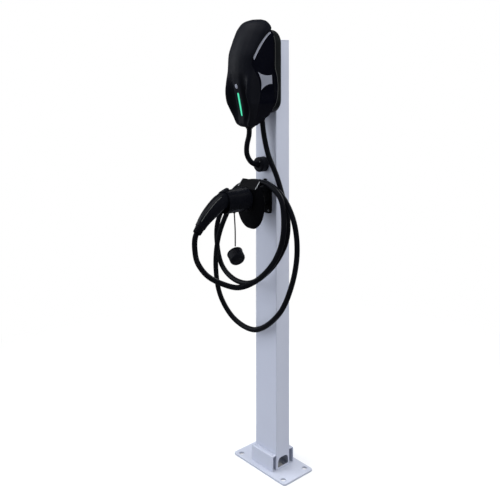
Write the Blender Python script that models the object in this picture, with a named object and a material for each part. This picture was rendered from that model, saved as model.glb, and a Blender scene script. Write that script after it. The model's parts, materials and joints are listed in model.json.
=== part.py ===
"""EV charging post: a steel pedestal with a wallbox charger, a cable holder and a charging gun.

Units are metres and +Z is up. The origin is the centre of the base plate's underside. The charger
and the holder are on the -Y side of the post, and +X is to the right as seen from the front.
Depths are distances in front of the post's axis, so a depth of 0.1 lies at Y = -0.1.
"""

import math

import bmesh
import bpy
import numpy as np
from mathutils import Vector

# ---------------------------------------------------------------- driving dimensions

GAP = 0.0003                      # clearance between neighbouring pieces

POST_HEIGHT = 1.400
TUBE_WIDTH, TUBE_DEPTH = 0.100, 0.060
TUBE_WALL, TUBE_CORNER = 0.002, 0.003
FACE = TUBE_DEPTH / 2             # depth of the post's front face
CAP_PLATE, CAP_SKIRT = 0.003, 0.018

PLATE_WIDTH, PLATE_DEPTH, PLATE_THICK, PLATE_CORNER = 0.245, 0.130, 0.006, 0.009
BOLT_X, BOLT_Y, BOLT_HOLE_RADIUS = 0.100, 0.048, 0.0085
FLOOR_OPENING = (0.030, 0.036, 0.008)          # width, depth, corner radius
FLOOR_OPENING_X = 0.029                        # beside the arch, where the supply comes up
ANGLE_REACH, ANGLE_HEIGHT, ANGLE_THICK = 0.017, 0.055, 0.003
ANGLE_HOLE_X, ANGLE_HOLE_RADIUS = 0.040, 0.002
ARCH_WIDTH, ARCH_HEIGHT, ARCH_RADIUS, ARCH_SILL = 0.046, 0.035, 0.016, 0.005

CABLE_RADIUS = 0.0085
CABLE_SIDES = 8

BRACKET_WIDTH, BRACKET_THICK = 0.090, 0.003
BRACKET_Z = (1.200, 1.420)
BRACKET_SCREWS = [(x, z) for x in (-0.034, 0.034) for z in (1.215, 1.405)]

SHELL_WIDTH, SHELL_Z, SHELL_CORNER = 0.168, (1.163, 1.432), 0.045
SHELL_DEPTH = (0.0375, 0.0695)
SHELL_WALL = 0.003
OPENING_MARGIN = 0.026            # rear shell's front frame, measured inwards
SHELL_SCREW_Z = (1.240, 1.380)
GASKET_DEPTH = (0.0698, 0.0713)

MASK_WALL = 0.003
MASK_Z = (1.118, 1.466)
MASK_BACK = 0.0716                # depth of the plane behind the side housing
SIDE_SLOPE = 0.246                # the sides close in by this much per metre of depth
SIDE_INSET = MASK_WALL + 0.0004   # side housing, inside the mask
SIDE_WALL = 0.003

# Outer form of the charger's front by height: half width at the back, depth of the cheeks,
# depth of the centre line, and how deep the two valleys beside the centre band are.
FORM_Z = (1.118, 1.131, 1.150, 1.175, 1.200, 1.232, 1.262, 1.300, 1.345, 1.390, 1.425, 1.441,
          1.454, 1.462, 1.466)
FORM_HALF = (0.042, 0.050, 0.060, 0.072, 0.078, 0.077, 0.077, 0.077, 0.077, 0.077, 0.0755, 0.0695,
             0.0570, 0.042, 0.022)
FORM_CHEEK = (0.127, 0.134, 0.137, 0.1445, 0.155, 0.162, 0.158, 0.150, 0.146, 0.126, 0.106, 0.097,
              0.091, 0.082, 0.0775)
FORM_NOSE = (0.130, 0.135, 0.136, 0.139, 0.144, 0.152, 0.160, 0.165, 0.161, 0.147, 0.131, 0.122,
             0.112, 0.094, 0.0795)
FORM_VALLEY = (0.003, 0.005, 0.008, 0.012, 0.014, 0.014, 0.008, 0, 0, 0, 0, 0, 0, 0, 0)

# Rear edge of the mask seen from the side, as (depth, height) from top to bottom.
MASK_EDGE = [(0.075, 1.431), (0.092, 1.416), (0.106, 1.400), (0.120, 1.381), (0.133, 1.359),
             (0.142, 1.340), (0.144, 1.322), (0.133, 1.296), (0.120, 1.270), (0.115, 1.232),
             (0.121, 1.188), (0.117, 1.150), (0.109, 1.121)]
CHIN = ((0.110, 1.112), (0.066, 1.163))        # sloping lower rear face, bottom to top

STRIP_START, STRIP_END, STRIP_BULGE = (0.0765, 1.420), (0.136, 1.337), 0.011
STRIP_WIDTH = 0.0095
TRIM_THICK, TRIM_LIFT = 0.0012, 0.0007
STAR_CORNERS = [(0.122, 1.297), (0.0785, 1.287), (0.0770, 1.258), (0.111, 1.238)]
STAR_HOLLOW = 0.006               # how far each side of the star curves inwards

LIGHT_LOW, LIGHT_HIGH = (0.1336, 1.154), (0.1512, 1.229)
LIGHT_WIDTH = 0.0088
BADGE_AT, BADGE_RADII = (0.1571, 1.250), (0.0066, 0.0076)

SUPPLY_EXIT = (0.0, 0.103)        # X and depth of the supply cable's gland
OUTPUT_EXIT = (0.010, 0.054)      # X and depth of the charging cable's gland
BOSS_AT, BOSS_RADIUS, BOSS_DEPTH, BOSS_ROUND = (-0.008, 0.990), 0.0245, 0.029, 0.006

SOCKET_Z = 0.888                  # axis of the holder's socket and of the gun's nose
NECK_RADIUS, NECK_BORE = 0.031, 0.028
SHIELD_DEPTH = (0.094, 0.116)
HOLDER_PLATE = (0.060, 0.832, 0.920, 0.0383)   # width, bottom, top, front depth
HOLDER_SCREWS = [(0.0, 0.934), (-0.022, 0.842), (0.022, 0.842)]
HOOD_HALF, HOOD_FOOT = 0.0415, 0.012             # half width, underside above the socket's axis
HOOD_SLOPE = ((0.0945, 0.0575), (0.1155, 0.0330))  # depth and height of its rear and front edges

NOSE_RADIUS, NOSE_TIP, NOSE_ROOT = 0.0272, 0.046, 0.1174
CONTACTS = {"contact_earth": (0.0, 0.0, 0.0042), "contact_neutral": (-0.0155, 0.0, 0.0042),
            "contact_line_1": (0.0155, 0.0, 0.0042), "contact_line_2": (0.008, -0.0135, 0.0042),
            "contact_line_3": (-0.008, -0.0135, 0.0042), "contact_pilot": (-0.008, 0.0125, 0.0028),
            "contact_proximity": (0.008, 0.0125, 0.0028)}

# Gun body: depth, height, half width, half height and pitch of each section, nose to tail.
GUN_SECTIONS = [(0.1177, 0.888, 0.034, 0.034, 0), (0.1215, 0.888, 0.036, 0.037, 0),
                (0.150, 0.888, 0.035, 0.037, 0), (0.175, 0.890, 0.032, 0.034, 6),
                (0.194, 0.8945, 0.0275, 0.0295, 18), (0.216, 0.892, 0.025, 0.0265, 31),
                (0.240, 0.880, 0.0235, 0.024, 38), (0.271, 0.857, 0.0205, 0.021, 43),
                (0.2925, 0.837, 0.0172, 0.0172, 48), (0.303, 0.8245, 0.016, 0.016, 51)]
STRAIN_RELIEF = [(0.000, 0.0140), (0.004, 0.0140), (0.0045, 0.0125), (0.0075, 0.0125),
                 (0.008, 0.0140), (0.0115, 0.0140), (0.012, 0.0120), (0.0150, 0.0120),
                 (0.0155, 0.0135), (0.0185, 0.0135)]
BUTTON_AT, BUTTON_PITCH = (0.2045, 0.9235), 18
BUTTON_SIZE, BUTTON_TRAVEL = (0.015, 0.027, 0.011), 0.002

LANYARD_TOP, LANYARD_END, LANYARD_RADIUS = (0.1665, 0.8470), (0.1625, 0.7425), 0.0015
DUST_CAP_CENTRE, DUST_CAP_RADIUS, DUST_CAP_DEPTH = (0.1600, 0.7110), 0.029, 0.025

# Centre line of the charging cable, from the charger's gland down to the right, round the
# small loop, over the holder's neck, round the big loop, over the neck again and out to the gun.
CABLE_PATH = [
    (0.010, -0.054, 1.160), (0.010, -0.054, 1.132), (0.014, -0.052, 1.092), (0.034, -0.050, 1.024),
    (0.064, -0.042, 0.960), (0.088, -0.038, 0.896), (0.116, -0.044, 0.834), (0.122, -0.052, 0.776), (0.106, -0.060, 0.726),
    (0.058, -0.066, 0.662), (-0.030, -0.070, 0.600), (-0.112, -0.070, 0.592), (-0.184, -0.064, 0.620),
    (-0.216, -0.060, 0.678), (-0.218, -0.058, 0.764), (-0.124, -0.054, 0.896), (-0.020, -0.054, 0.932),
    (0.056, -0.056, 0.928), (0.114, -0.058, 0.896), (0.160, -0.060, 0.832), (0.170, -0.056, 0.740),
    (0.142, -0.052, 0.628), (0.080, -0.050, 0.520), (-0.034, -0.050, 0.440), (-0.136, -0.054, 0.452),
    (-0.192, -0.066, 0.516), (-0.198, -0.082, 0.614), (-0.182, -0.086, 0.714), (-0.146, -0.080, 0.804),
    (-0.060, -0.074, 0.922), (0.056, -0.074, 0.934), (0.118, -0.076, 0.898), (0.138, -0.082, 0.832),
    (0.134, -0.090, 0.758), (0.096, -0.098, 0.686), (0.042, -0.120, 0.630), (0.002, -0.152, 0.610),
    (-0.028, -0.194, 0.624), (-0.042, -0.240, 0.654), (-0.036, -0.284, 0.704), (-0.014, -0.312, 0.752),
    (-0.001, -0.3195, 0.799)]
SUPPLY_PATH = [(0.0, -0.103, 1.122), (-0.001, -0.103, 1.092), (-0.007, -0.107, 1.058),
               (-0.012, -0.102, 1.027), (-0.011, -0.086, 1.002), (-0.008, -0.066, 0.991),
               (-0.008, -0.048, 0.990)]

# ---------------------------------------------------------------- materials


def material(name, colour, roughness, metallic=0.0):
    """A Principled material, shared by every piece that asks for the same name."""
    made = bpy.data.materials.get(name) or bpy.data.materials.new(name)
    made.use_nodes = True
    shader = made.node_tree.nodes["Principled BSDF"]
    shader.inputs["Base Color"].default_value = (*colour, 1)
    shader.inputs["Roughness"].default_value = roughness
    shader.inputs["Metallic"].default_value = metallic
    return made


def powder_coat():
    return material("powder_coat", (0.48, 0.51, 0.60), 0.45)


def satin_black():
    return material("satin_black", (0.012, 0.013, 0.016), 0.38)


def gloss_black():
    return material("gloss_black", (0.006, 0.006, 0.008), 0.12)


def silver_trim():
    return material("silver_trim", (0.42, 0.43, 0.48), 0.35, 0.6)


def black_rubber():
    return material("black_rubber", (0.012, 0.012, 0.014), 0.55)


def zinc_steel():
    return material("zinc_steel", (0.55, 0.56, 0.58), 0.35, 1.0)


def circuit_green():
    return material("circuit_green", (0.02, 0.12, 0.05), 0.5)


def insulation():
    return material("insulation", (0.04, 0.04, 0.045), 0.6)


def light_green():
    return material("light_green", (0.05, 0.62, 0.33), 0.3)


def contact_metal():
    return material("contact_metal", (0.75, 0.72, 0.62), 0.25, 1.0)


# ---------------------------------------------------------------- building blocks


def finish(name, mesh_data, look, origin=(0, 0, 0)):
    """Turn a bmesh into a named, smooth-shaded object whose origin sits at the given point."""
    bmesh.ops.recalc_face_normals(mesh_data, faces=mesh_data.faces)
    bmesh.ops.translate(mesh_data, verts=mesh_data.verts, vec=-Vector(origin))
    mesh = bpy.data.meshes.new(name)
    mesh_data.to_mesh(mesh)
    mesh_data.free()
    mesh.shade_smooth()
    mesh.set_sharp_from_angle(angle=math.radians(35))
    mesh.materials.append(look)
    made = bpy.data.objects.new(name, mesh)
    made.location = origin
    bpy.context.scene.collection.objects.link(made)
    return made


def skin(name, rings, look, closed=False, origin=(0, 0, 0)):
    """Bridge rings of equally many points, with end caps or closed into a hoop.

    Each side face is split along the same diagonal, so nested forms keep their clearance.
    """
    mesh_data = bmesh.new()
    rows = [[mesh_data.verts.new(point) for point in ring] for ring in rings]
    pairs = list(zip(rows, rows[1:]))
    if closed:
        pairs.append((rows[-1], rows[0]))
    else:
        mesh_data.faces.new(rows[0])
        mesh_data.faces.new(rows[-1])
    for first, second in pairs:
        for i in range(len(first)):
            j = (i + 1) % len(first)
            mesh_data.faces.new((first[i], first[j], second[j]))
            mesh_data.faces.new((first[i], second[j], second[i]))
    return finish(name, mesh_data, look, origin)


def rounded_rect(width, height, radius, steps=4):
    """Outline of a rectangle with rounded corners, anticlockwise from the lower right."""
    outline = []
    corners = [(1, -1, -90), (1, 1, 0), (-1, 1, 90), (-1, -1, 180)]
    for sx, sy, start in corners:
        centre = (sx * (width / 2 - radius), sy * (height / 2 - radius))
        for i in range(steps + 1):
            turn = math.radians(start + 90 * i / steps)
            outline.append((centre[0] + radius * math.cos(turn), centre[1] + radius * math.sin(turn)))
    return outline


def at_height(outline, z):
    return [Vector((x, y, z)) for x, y in outline]


def at_depth(outline, depth, centre_z=0.0):
    return [Vector((x, -depth, centre_z + z)) for x, z in outline]


def prism_x(name, outline, low, high, look):
    """Extrude a (depth, height) outline along X."""
    rings = [[Vector((x, -depth, z)) for depth, z in outline] for x in (low, high)]
    return skin(name, rings, look)


def turned(name, base, axis, profile, look, sides=16, closed=False, origin=(0, 0, 0)):
    """Turn a profile of (distance along the axis, radius) points about an axis through base."""
    along = Vector(axis).normalized()
    across = along.orthogonal().normalized()
    third = along.cross(across)
    rings = []
    for distance, radius in profile:
        ring = []
        for i in range(sides):
            turn = math.tau * i / sides
            spoke = across * math.cos(turn) + third * math.sin(turn)
            ring.append(Vector(base) + along * distance + spoke * radius)
        rings.append(ring)
    return skin(name, rings, look, closed, origin)


def cutter(made):
    """Mark an object as a tool that shapes its neighbours and isn't part of the post."""
    made.hide_render = True
    made.display_type = "WIRE"
    return made


def combine(target, tool, operation="DIFFERENCE"):
    change = target.modifiers.new(tool.name, "BOOLEAN")
    change.operation = operation
    change.object = tool
    change.solver = "EXACT"
    cutter(tool)


def round_cut(target, label, base, axis, radius, length, sides=12):
    """Drill a round hole of the given length, starting at base."""
    tool = turned(label, base, axis, [(0, radius), (length, radius)], target.data.materials[0], sides)
    combine(target, tool)


def screw(name, head_at, axis, shank_radius=0.0022, shank=0.008, head_radius=0.004, head=0.0022):
    """Pan-head screw: the head's underside is at head_at and the shank runs against the axis."""
    profile = [(-shank, shank_radius), (0, shank_radius), (0, head_radius),
               (head * 0.6, head_radius * 0.95), (head, head_radius * 0.6)]
    return turned(name, head_at, axis, profile, zinc_steel(), sides=12)


def smooth_path(points, steps):
    """Centripetal Catmull-Rom curve through the points, so the cable bends evenly."""
    knots = [Vector(point) for point in points]
    knots = [2 * knots[0] - knots[1], *knots, 2 * knots[-1] - knots[-2]]
    curve = []
    for i in range(1, len(knots) - 2):
        p0, p1, p2, p3 = knots[i - 1:i + 3]
        t1 = math.sqrt((p1 - p0).length)
        t2 = t1 + math.sqrt((p2 - p1).length)
        t3 = t2 + math.sqrt((p3 - p2).length)
        for k in range(steps):
            t = t1 + (t2 - t1) * k / steps
            a1 = p0.lerp(p1, t / t1)
            a2 = p1.lerp(p2, (t - t1) / (t2 - t1))
            a3 = p2.lerp(p3, (t - t2) / (t3 - t2))
            b1 = a1.lerp(a2, t / t2)
            b2 = a2.lerp(a3, (t - t1) / (t3 - t1))
            curve.append(b1.lerp(b2, (t - t1) / (t2 - t1)))
    curve.append(knots[-2])
    return curve


def sweep(name, points, radius, look, sides=CABLE_SIDES, origin=(0, 0, 0)):
    """Sweep a circle along a line of points without twisting it."""
    side = (points[1] - points[0]).orthogonal().normalized()
    rings = []
    for i, point in enumerate(points):
        ahead = (points[min(i + 1, len(points) - 1)] - points[max(i - 1, 0)]).normalized()
        side = (side - ahead * side.dot(ahead)).normalized()
        other = ahead.cross(side)
        ring = []
        for k in range(sides):
            turn = math.tau * k / sides
            ring.append(point + (side * math.cos(turn) + other * math.sin(turn)) * radius)
        rings.append(ring)
    return skin(name, rings, look, origin=origin)


# ---------------------------------------------------------------- pedestal


def base_plate():
    outline = rounded_rect(PLATE_WIDTH, PLATE_DEPTH, PLATE_CORNER)
    plate = skin("base_plate", [at_height(outline, 0), at_height(outline, PLATE_THICK)], powder_coat())
    for i, (sx, sy) in enumerate([(-1, -1), (1, -1), (1, 1), (-1, 1)]):
        start = (sx * BOLT_X, sy * BOLT_Y, -0.01)
        round_cut(plate, f"bolt_hole_{i}", start, (0, 0, 1), BOLT_HOLE_RADIUS, 0.03, sides=20)
    opening = [(x + FLOOR_OPENING_X, y) for x, y in rounded_rect(*FLOOR_OPENING)]
    tool = skin("floor_opening", [at_height(opening, -0.01), at_height(opening, 0.02)], powder_coat())
    combine(plate, tool)


def post_tube():
    outer = rounded_rect(TUBE_WIDTH, TUBE_DEPTH, TUBE_CORNER)
    inner = rounded_rect(TUBE_WIDTH - 2 * TUBE_WALL, TUBE_DEPTH - 2 * TUBE_WALL, TUBE_CORNER - TUBE_WALL)
    low = PLATE_THICK + GAP
    high = POST_HEIGHT - CAP_PLATE - GAP
    rings = [at_height(inner, low), at_height(inner, high), at_height(outer, high), at_height(outer, low)]
    tube = skin("post_tube", rings, powder_coat(), closed=True)
    combine(tube, arch())
    for i, (x, z) in enumerate(BRACKET_SCREWS + HOLDER_SCREWS):
        round_cut(tube, f"tube_screw_{i}", (x, -FACE - 0.002, z), (0, 1, 0), 0.0027, 0.006)
    x, z = BOSS_AT
    round_cut(tube, "tube_cable_hole", (x, -FACE - 0.002, z), (0, 1, 0), 0.012, 0.006, sides=16)


def arch():
    """Cable opening at the foot of the right-hand narrow face, with a rounded head."""
    half = ARCH_WIDTH / 2
    sill = PLATE_THICK + ARCH_SILL
    outline = [(half, sill), (-half, sill)]
    top = PLATE_THICK + ARCH_HEIGHT - ARCH_RADIUS
    for side in (-1, 1):
        for i in range(6):
            turn = math.radians(18 * i if side < 0 else 90 - 18 * i)
            reach = half - ARCH_RADIUS + ARCH_RADIUS * math.cos(turn)
            outline.append((side * reach, top + ARCH_RADIUS * math.sin(turn)))
    return prism_x("arch", outline, TUBE_WIDTH / 2 - 0.006, TUBE_WIDTH / 2 + 0.006, powder_coat())


def post_cap():
    plate = rounded_rect(TUBE_WIDTH, TUBE_DEPTH, TUBE_CORNER)
    slack = 2 * (TUBE_WALL + GAP)
    plug = rounded_rect(TUBE_WIDTH - slack, TUBE_DEPTH - slack, 0.0008)
    hollow = rounded_rect(TUBE_WIDTH - slack - 0.004, TUBE_DEPTH - slack - 0.004, 0.0005)
    under = POST_HEIGHT - CAP_PLATE
    low = under - CAP_SKIRT
    rings = [at_height(hollow, under), at_height(hollow, low), at_height(plug, low),
             at_height(plug, under), at_height(plate, under), at_height(plate, POST_HEIGHT)]
    skin("post_cap", rings, powder_coat())


def foot_angle(name, side):
    """Angle welded between the plate and one wide face; side is -1 in front and 1 behind."""
    near, far = FACE + GAP, FACE + ANGLE_REACH
    low = PLATE_THICK + GAP
    inner = far - ANGLE_THICK
    outline = [(near, ANGLE_HEIGHT), (far, ANGLE_HEIGHT), (far, low), (inner, low),
               (inner, ANGLE_HEIGHT - ANGLE_THICK), (near, ANGLE_HEIGHT - ANGLE_THICK)]
    outline = [(-side * reach, z) for reach, z in outline]
    angle = prism_x(name, outline, -TUBE_WIDTH / 2, TUBE_WIDTH / 2, powder_coat())
    for i, x in enumerate((-ANGLE_HOLE_X, ANGLE_HOLE_X)):
        start = (x, side * (FACE + ANGLE_REACH / 2), ANGLE_HEIGHT - 0.01)
        round_cut(angle, f"{name}_hole_{i}", start, (0, 0, 1), ANGLE_HOLE_RADIUS, 0.02)


# ---------------------------------------------------------------- charger


def wall_bracket():
    centre = sum(BRACKET_Z) / 2
    outline = rounded_rect(BRACKET_WIDTH, BRACKET_Z[1] - BRACKET_Z[0], 0.006, steps=2)
    back = FACE + GAP
    front = back + BRACKET_THICK
    rings = [at_depth(outline, back, centre), at_depth(outline, front, centre)]
    plate = skin("wall_bracket", rings, zinc_steel())
    holes = BRACKET_SCREWS + [(0, z) for z in SHELL_SCREW_Z]
    for i, (x, z) in enumerate(holes):
        round_cut(plate, f"bracket_hole_{i}", (x, -front - 0.002, z), (0, 1, 0), 0.0026, 0.008)
    for i, (x, z) in enumerate(BRACKET_SCREWS):
        screw(f"bracket_screw_{i + 1}", (x, -front - GAP, z), (0, -1, 0))


def rear_housing():
    height = SHELL_Z[1] - SHELL_Z[0]
    centre = sum(SHELL_Z) / 2
    back, front = SHELL_DEPTH

    def ring(inset, corner, depth):
        outline = rounded_rect(SHELL_WIDTH - 2 * inset, height - 2 * inset, corner)
        return at_depth(outline, depth, centre)

    inner_corner = SHELL_CORNER - SHELL_WALL
    rings = [ring(SHELL_WALL, inner_corner, back + SHELL_WALL),
             ring(SHELL_WALL, inner_corner, front - SHELL_WALL),
             ring(OPENING_MARGIN, 0.020, front - SHELL_WALL), ring(OPENING_MARGIN, 0.020, front),
             ring(0.004, SHELL_CORNER - 0.004, front), ring(0, SHELL_CORNER, front - 0.004),
             ring(0, SHELL_CORNER, back + 0.007), ring(0.006, SHELL_CORNER - 0.006, back)]
    shell = skin("rear_housing", rings, satin_black())
    x, depth = OUTPUT_EXIT
    round_cut(shell, "output_hole", (x, -depth, SHELL_Z[0] - 0.01), (0, 0, 1), 0.0108, 0.02, sides=16)
    for i, z in enumerate(SHELL_SCREW_Z):
        round_cut(shell, f"shell_hole_{i}", (0, -back + 0.002, z), (0, -1, 0), 0.0026, 0.008)
        screw(f"housing_screw_{i + 1}", (0, -back - SHELL_WALL - GAP, z), (0, -1, 0))


def housing_gasket():
    centre = sum(SHELL_Z) / 2
    width = SHELL_WIDTH - 2 * OPENING_MARGIN + 0.002
    height = SHELL_Z[1] - SHELL_Z[0] - 2 * OPENING_MARGIN + 0.002
    inner = rounded_rect(width, height, 0.021)
    outer = rounded_rect(width + 0.008, height + 0.008, 0.025)
    back, front = GASKET_DEPTH
    rings = [at_depth(inner, back, centre), at_depth(inner, front, centre),
             at_depth(outer, front, centre), at_depth(outer, back, centre)]
    skin("housing_gasket", rings, black_rubber(), closed=True)


def form(values, z):
    return float(np.interp(z, FORM_Z, values))


def half_section(z, inset):
    """Right half of a level slice through the charger's front, back to nose, as (X, depth)."""
    cheek = form(FORM_CHEEK, z)
    nose = form(FORM_NOSE, z)
    valley = form(FORM_VALLEY, z)
    half = form(FORM_HALF, z)
    turn_in = max(cheek - 0.020, MASK_BACK + 0.002)
    shoulder = max(cheek - 0.008, turn_in + 0.001)
    side = half - SIDE_SLOPE * (turn_in - MASK_BACK)
    points = [(half, MASK_BACK), (side, turn_in), (side - 0.0035, shoulder),
              (side - 0.009, cheek), (side * 0.55, nose - 0.4 * (nose - cheek) - valley),
              (side * 0.28, nose - 0.1 * (nose - cheek) - 0.15 * valley - 0.0004), (0, nose)]
    shrink = 1 - inset / half
    return [(x * shrink, depth - inset * min(1, 3 * (depth - MASK_BACK) / nose)) for x, depth in points]


def stretched(z, inset):
    """Height at which the outer form is read for a surface lying inset beneath it."""
    centre = sum(MASK_Z) / 2
    half = (MASK_Z[1] - MASK_Z[0]) / 2
    return centre + (z - centre) * half / (half - inset)


def front_form(name, inset, back, look):
    """Closed solid of the charger's front, inset under the outer surface and flat at the back."""
    centre = sum(MASK_Z) / 2
    half = (MASK_Z[1] - MASK_Z[0]) / 2
    rings = []
    for z in FORM_Z:
        section = half_section(z, inset)
        (rear_x, rear_depth), (side, turn_in) = section[:2]
        flare = (rear_x - side) / (turn_in - rear_depth)
        right = [(rear_x + flare * (rear_depth - back), back)]
        kept = section if back < rear_depth else section[1:]
        right += [(x, max(depth, back + 0.001)) for x, depth in kept]
        left = [(-x, depth) for x, depth in reversed(right[:-1])]
        height = centre + (z - centre) * (half - inset) / half
        rings.append([Vector((x, -depth, height)) for x, depth in right + left])
    return skin(name, rings, look)


def side_x(depth, z, inset):
    """Half width of the charger's side at a depth and height."""
    section = half_section(stretched(z, inset), inset)
    return float(np.interp(depth, [d for _, d in section[:3]], [x for x, _ in section[:3]]))


def light_frame():
    """Middle, direction and outward normal of the light bar, in the plane X = 0."""
    low = Vector((0, -LIGHT_LOW[0], LIGHT_LOW[1]))
    high = Vector((0, -LIGHT_HIGH[0], LIGHT_HIGH[1]))
    along = (high - low).normalized()
    return (low + high) / 2, along, Vector((1, 0, 0)).cross(along), (high - low).length


def light_block(name, width, length, inner, outer, look):
    """Round-ended block that follows the light bar, between two offsets from the surface."""
    centre, along, normal, _ = light_frame()
    outline = rounded_rect(width, length, width * 0.49, steps=3)
    rings = []
    for offset in (inner, outer):
        base = centre + normal * offset
        rings.append([base + Vector((x, 0, 0)) + along * y for x, y in outline])
    return skin(name, rings, look)


def front_cover():
    cover = front_form("front_cover", 0, MASK_BACK, satin_black())
    combine(cover, front_form("cover_hollow", MASK_WALL, MASK_BACK - 0.01, satin_black()))
    outline = [(0.05, MASK_EDGE[0][1]), *MASK_EDGE, (0.080, 1.100), (0.05, 1.100)]
    combine(cover, prism_x("cover_edge", outline, -0.12, 0.12, satin_black()))
    cut_front_openings(cover)


def chin_cut(label, lift):
    """Block below the sloping lower rear face, raised by lift to leave a wall under a cavity."""
    (low_depth, low), (high_depth, high) = CHIN
    outline = [(low_depth, low + lift), (high_depth, high + lift), (high_depth, low - 0.02),
               (low_depth, low - 0.02)]
    return prism_x(label, outline, -0.12, 0.12, gloss_black())


def side_housing():
    housing = front_form("side_housing", SIDE_INSET, MASK_BACK, gloss_black())
    cavity = front_form("side_hollow", SIDE_INSET + SIDE_WALL, MASK_BACK + SIDE_WALL, gloss_black())
    combine(cavity, chin_cut("chin_inside", 0.005))
    combine(housing, cavity)
    combine(housing, chin_cut("chin", 0))
    centre = sum(SHELL_Z) / 2
    outline = rounded_rect(SHELL_WIDTH - 2 * OPENING_MARGIN - 0.002,
                           SHELL_Z[1] - SHELL_Z[0] - 2 * OPENING_MARGIN - 0.002, 0.019)
    rings = [at_depth(outline, MASK_BACK - 0.005, centre), at_depth(outline, MASK_BACK + 0.006, centre)]
    combine(housing, skin("side_opening", rings, gloss_black()))
    cut_front_openings(housing)


def cut_front_openings(target):
    """Slot for the light bar and hole for the supply cable's gland."""
    length = light_frame()[3]
    slot = light_block(f"{target.name}_slot", LIGHT_WIDTH + 0.0008, length + 0.0008, -0.014, 0.006,
                       satin_black())
    combine(target, slot)
    x, depth = SUPPLY_EXIT
    round_cut(target, f"{target.name}_supply_hole", (x, -depth, 1.10), (0, 0, 1), 0.0128, 0.05, sides=16)


def light_bar():
    length = light_frame()[3]
    light_block("light_bar", LIGHT_WIDTH, length, -0.0088, 0.0004, light_green())
    light_block("light_board", 0.012, length + 0.006, -0.0106, -0.0092, circuit_green())


def badge():
    """Small plain oval plate above the light bar."""
    normal = light_frame()[2]
    centre = Vector((0, -BADGE_AT[0], BADGE_AT[1]))
    along = light_frame()[1]
    rings = []
    for offset in (0.0008, 0.0020):
        ring = []
        for i in range(20):
            turn = math.tau * i / 20
            spoke = Vector((BADGE_RADII[0] * math.cos(turn), 0, 0)) + along * BADGE_RADII[1] * math.sin(turn)
            ring.append(centre + normal * offset + spoke)
        rings.append(ring)
    skin("badge", rings, silver_trim())


def trim_plate(name, side, rows):
    """Thin plate on the side housing, given as matched rows of (depth, height) points."""
    rings = []
    for row in rows:
        ring = []
        for lift, points in ((TRIM_LIFT, row), (TRIM_LIFT + TRIM_THICK, row[::-1])):
            for depth, z in points:
                x = side_x(depth, z, SIDE_INSET) + lift
                ring.append(Vector((side * x, -depth, z)))
        rings.append(ring)
    skin(name, rings, silver_trim())


def upper_trim(name, side):
    """Slim crescent strip that follows the mask's upper rear edge."""
    rows = []
    steps = 10
    for i in range(steps + 1):
        t = i / steps
        depth = STRIP_START[0] + (STRIP_END[0] - STRIP_START[0]) * t
        z = STRIP_START[1] + (STRIP_END[1] - STRIP_START[1]) * t + 4 * STRIP_BULGE * t * (1 - t)
        half = STRIP_WIDTH / 2
        low = half * (2 * (0.45 + 0.75 * t - 0.35 * t * t) - 1)
        rows.append([(depth - low * 0.45, z - low), (depth + half * 0.45, z + half)])
    trim_plate(name, side, rows)


def lower_trim(name, side):
    """Four-cornered star plate whose top, bottom and front curve inwards."""
    upper_front, upper_back, lower_back, lower_front = STAR_CORNERS

    def hollow_edge(start, end, t, inward):
        depth = start[0] + (end[0] - start[0]) * t
        bow = 4 * STAR_HOLLOW * t * (1 - t)
        return depth, start[1] + (end[1] - start[1]) * t + inward * bow

    steps = 8
    rows = []
    for i in range(steps + 1):
        t = i / steps
        top = hollow_edge(upper_front, upper_back, t, -1)
        bottom = hollow_edge(lower_front, lower_back, t, 1)
        row = []
        for k in range(5):
            rise = k / 4
            bow = 4 * STAR_HOLLOW * rise * (1 - rise) * (1 - t) ** 2
            row.append((bottom[0] + (top[0] - bottom[0]) * rise - bow,
                        bottom[1] + (top[1] - bottom[1]) * rise))
        rows.append(row)
    trim_plate(name, side, rows)


def slab(name, x, depth, z, look):
    """Rectangular block between (low, high) pairs on each axis."""
    outline = [(x[0], z[0]), (x[1], z[0]), (x[1], z[1]), (x[0], z[1])]
    skin(name, [at_depth(outline, depth[0]), at_depth(outline, depth[1])], look)


def electronics():
    """Board and the parts that stand on it, inside the rear housing."""
    board = (0.0470, 0.0486)
    front = board[1] + GAP
    slab("control_board", (-0.055, 0.055), board, (1.195, 1.415), circuit_green())
    slab("power_relay", (-0.045, 0.000), (front, 0.088), (1.215, 1.260), insulation())
    slab("power_supply", (0.008, 0.046), (front, 0.080), (1.330, 1.400), insulation())
    slab("terminal_block", (-0.045, 0.045), (front, 0.072), (1.198, 1.211), insulation())
    turned("residual_current_sensor", (0.022, -0.0490, 1.290), (0, -1, 0),
           [(0, 0.009), (0.016, 0.009), (0.016, 0.019), (0, 0.019)], insulation(), closed=True)


def gland(name, x, depth, top, hollow_radius, profile):
    """Hollow cable gland hanging below top, with the cable running through its bore."""
    loop = [(profile[0][0], hollow_radius), *profile, (profile[-1][0], hollow_radius)]
    turned(name, (x, -depth, top), (0, 0, -1), loop, black_rubber(), closed=True)


def charger_glands():
    bore = CABLE_RADIUS + 2 * GAP
    gland("supply_gland", *SUPPLY_EXIT, 1.140, bore, [(0, 0.012), (0.026, 0.012), (0.028, 0.0105)])
    gland("output_gland", *OUTPUT_EXIT, SHELL_Z[0] + 0.008, bore,
          [(0, 0.0105), (0.0083, 0.0105), (0.0083, 0.0145), (0.020, 0.0145), (0.026, 0.0115)])


# ---------------------------------------------------------------- cables


def cables():
    sweep("supply_cable", smooth_path(SUPPLY_PATH, 4), CABLE_RADIUS, black_rubber())
    sweep("charging_cable", smooth_path(CABLE_PATH, 4), CABLE_RADIUS, black_rubber())


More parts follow.
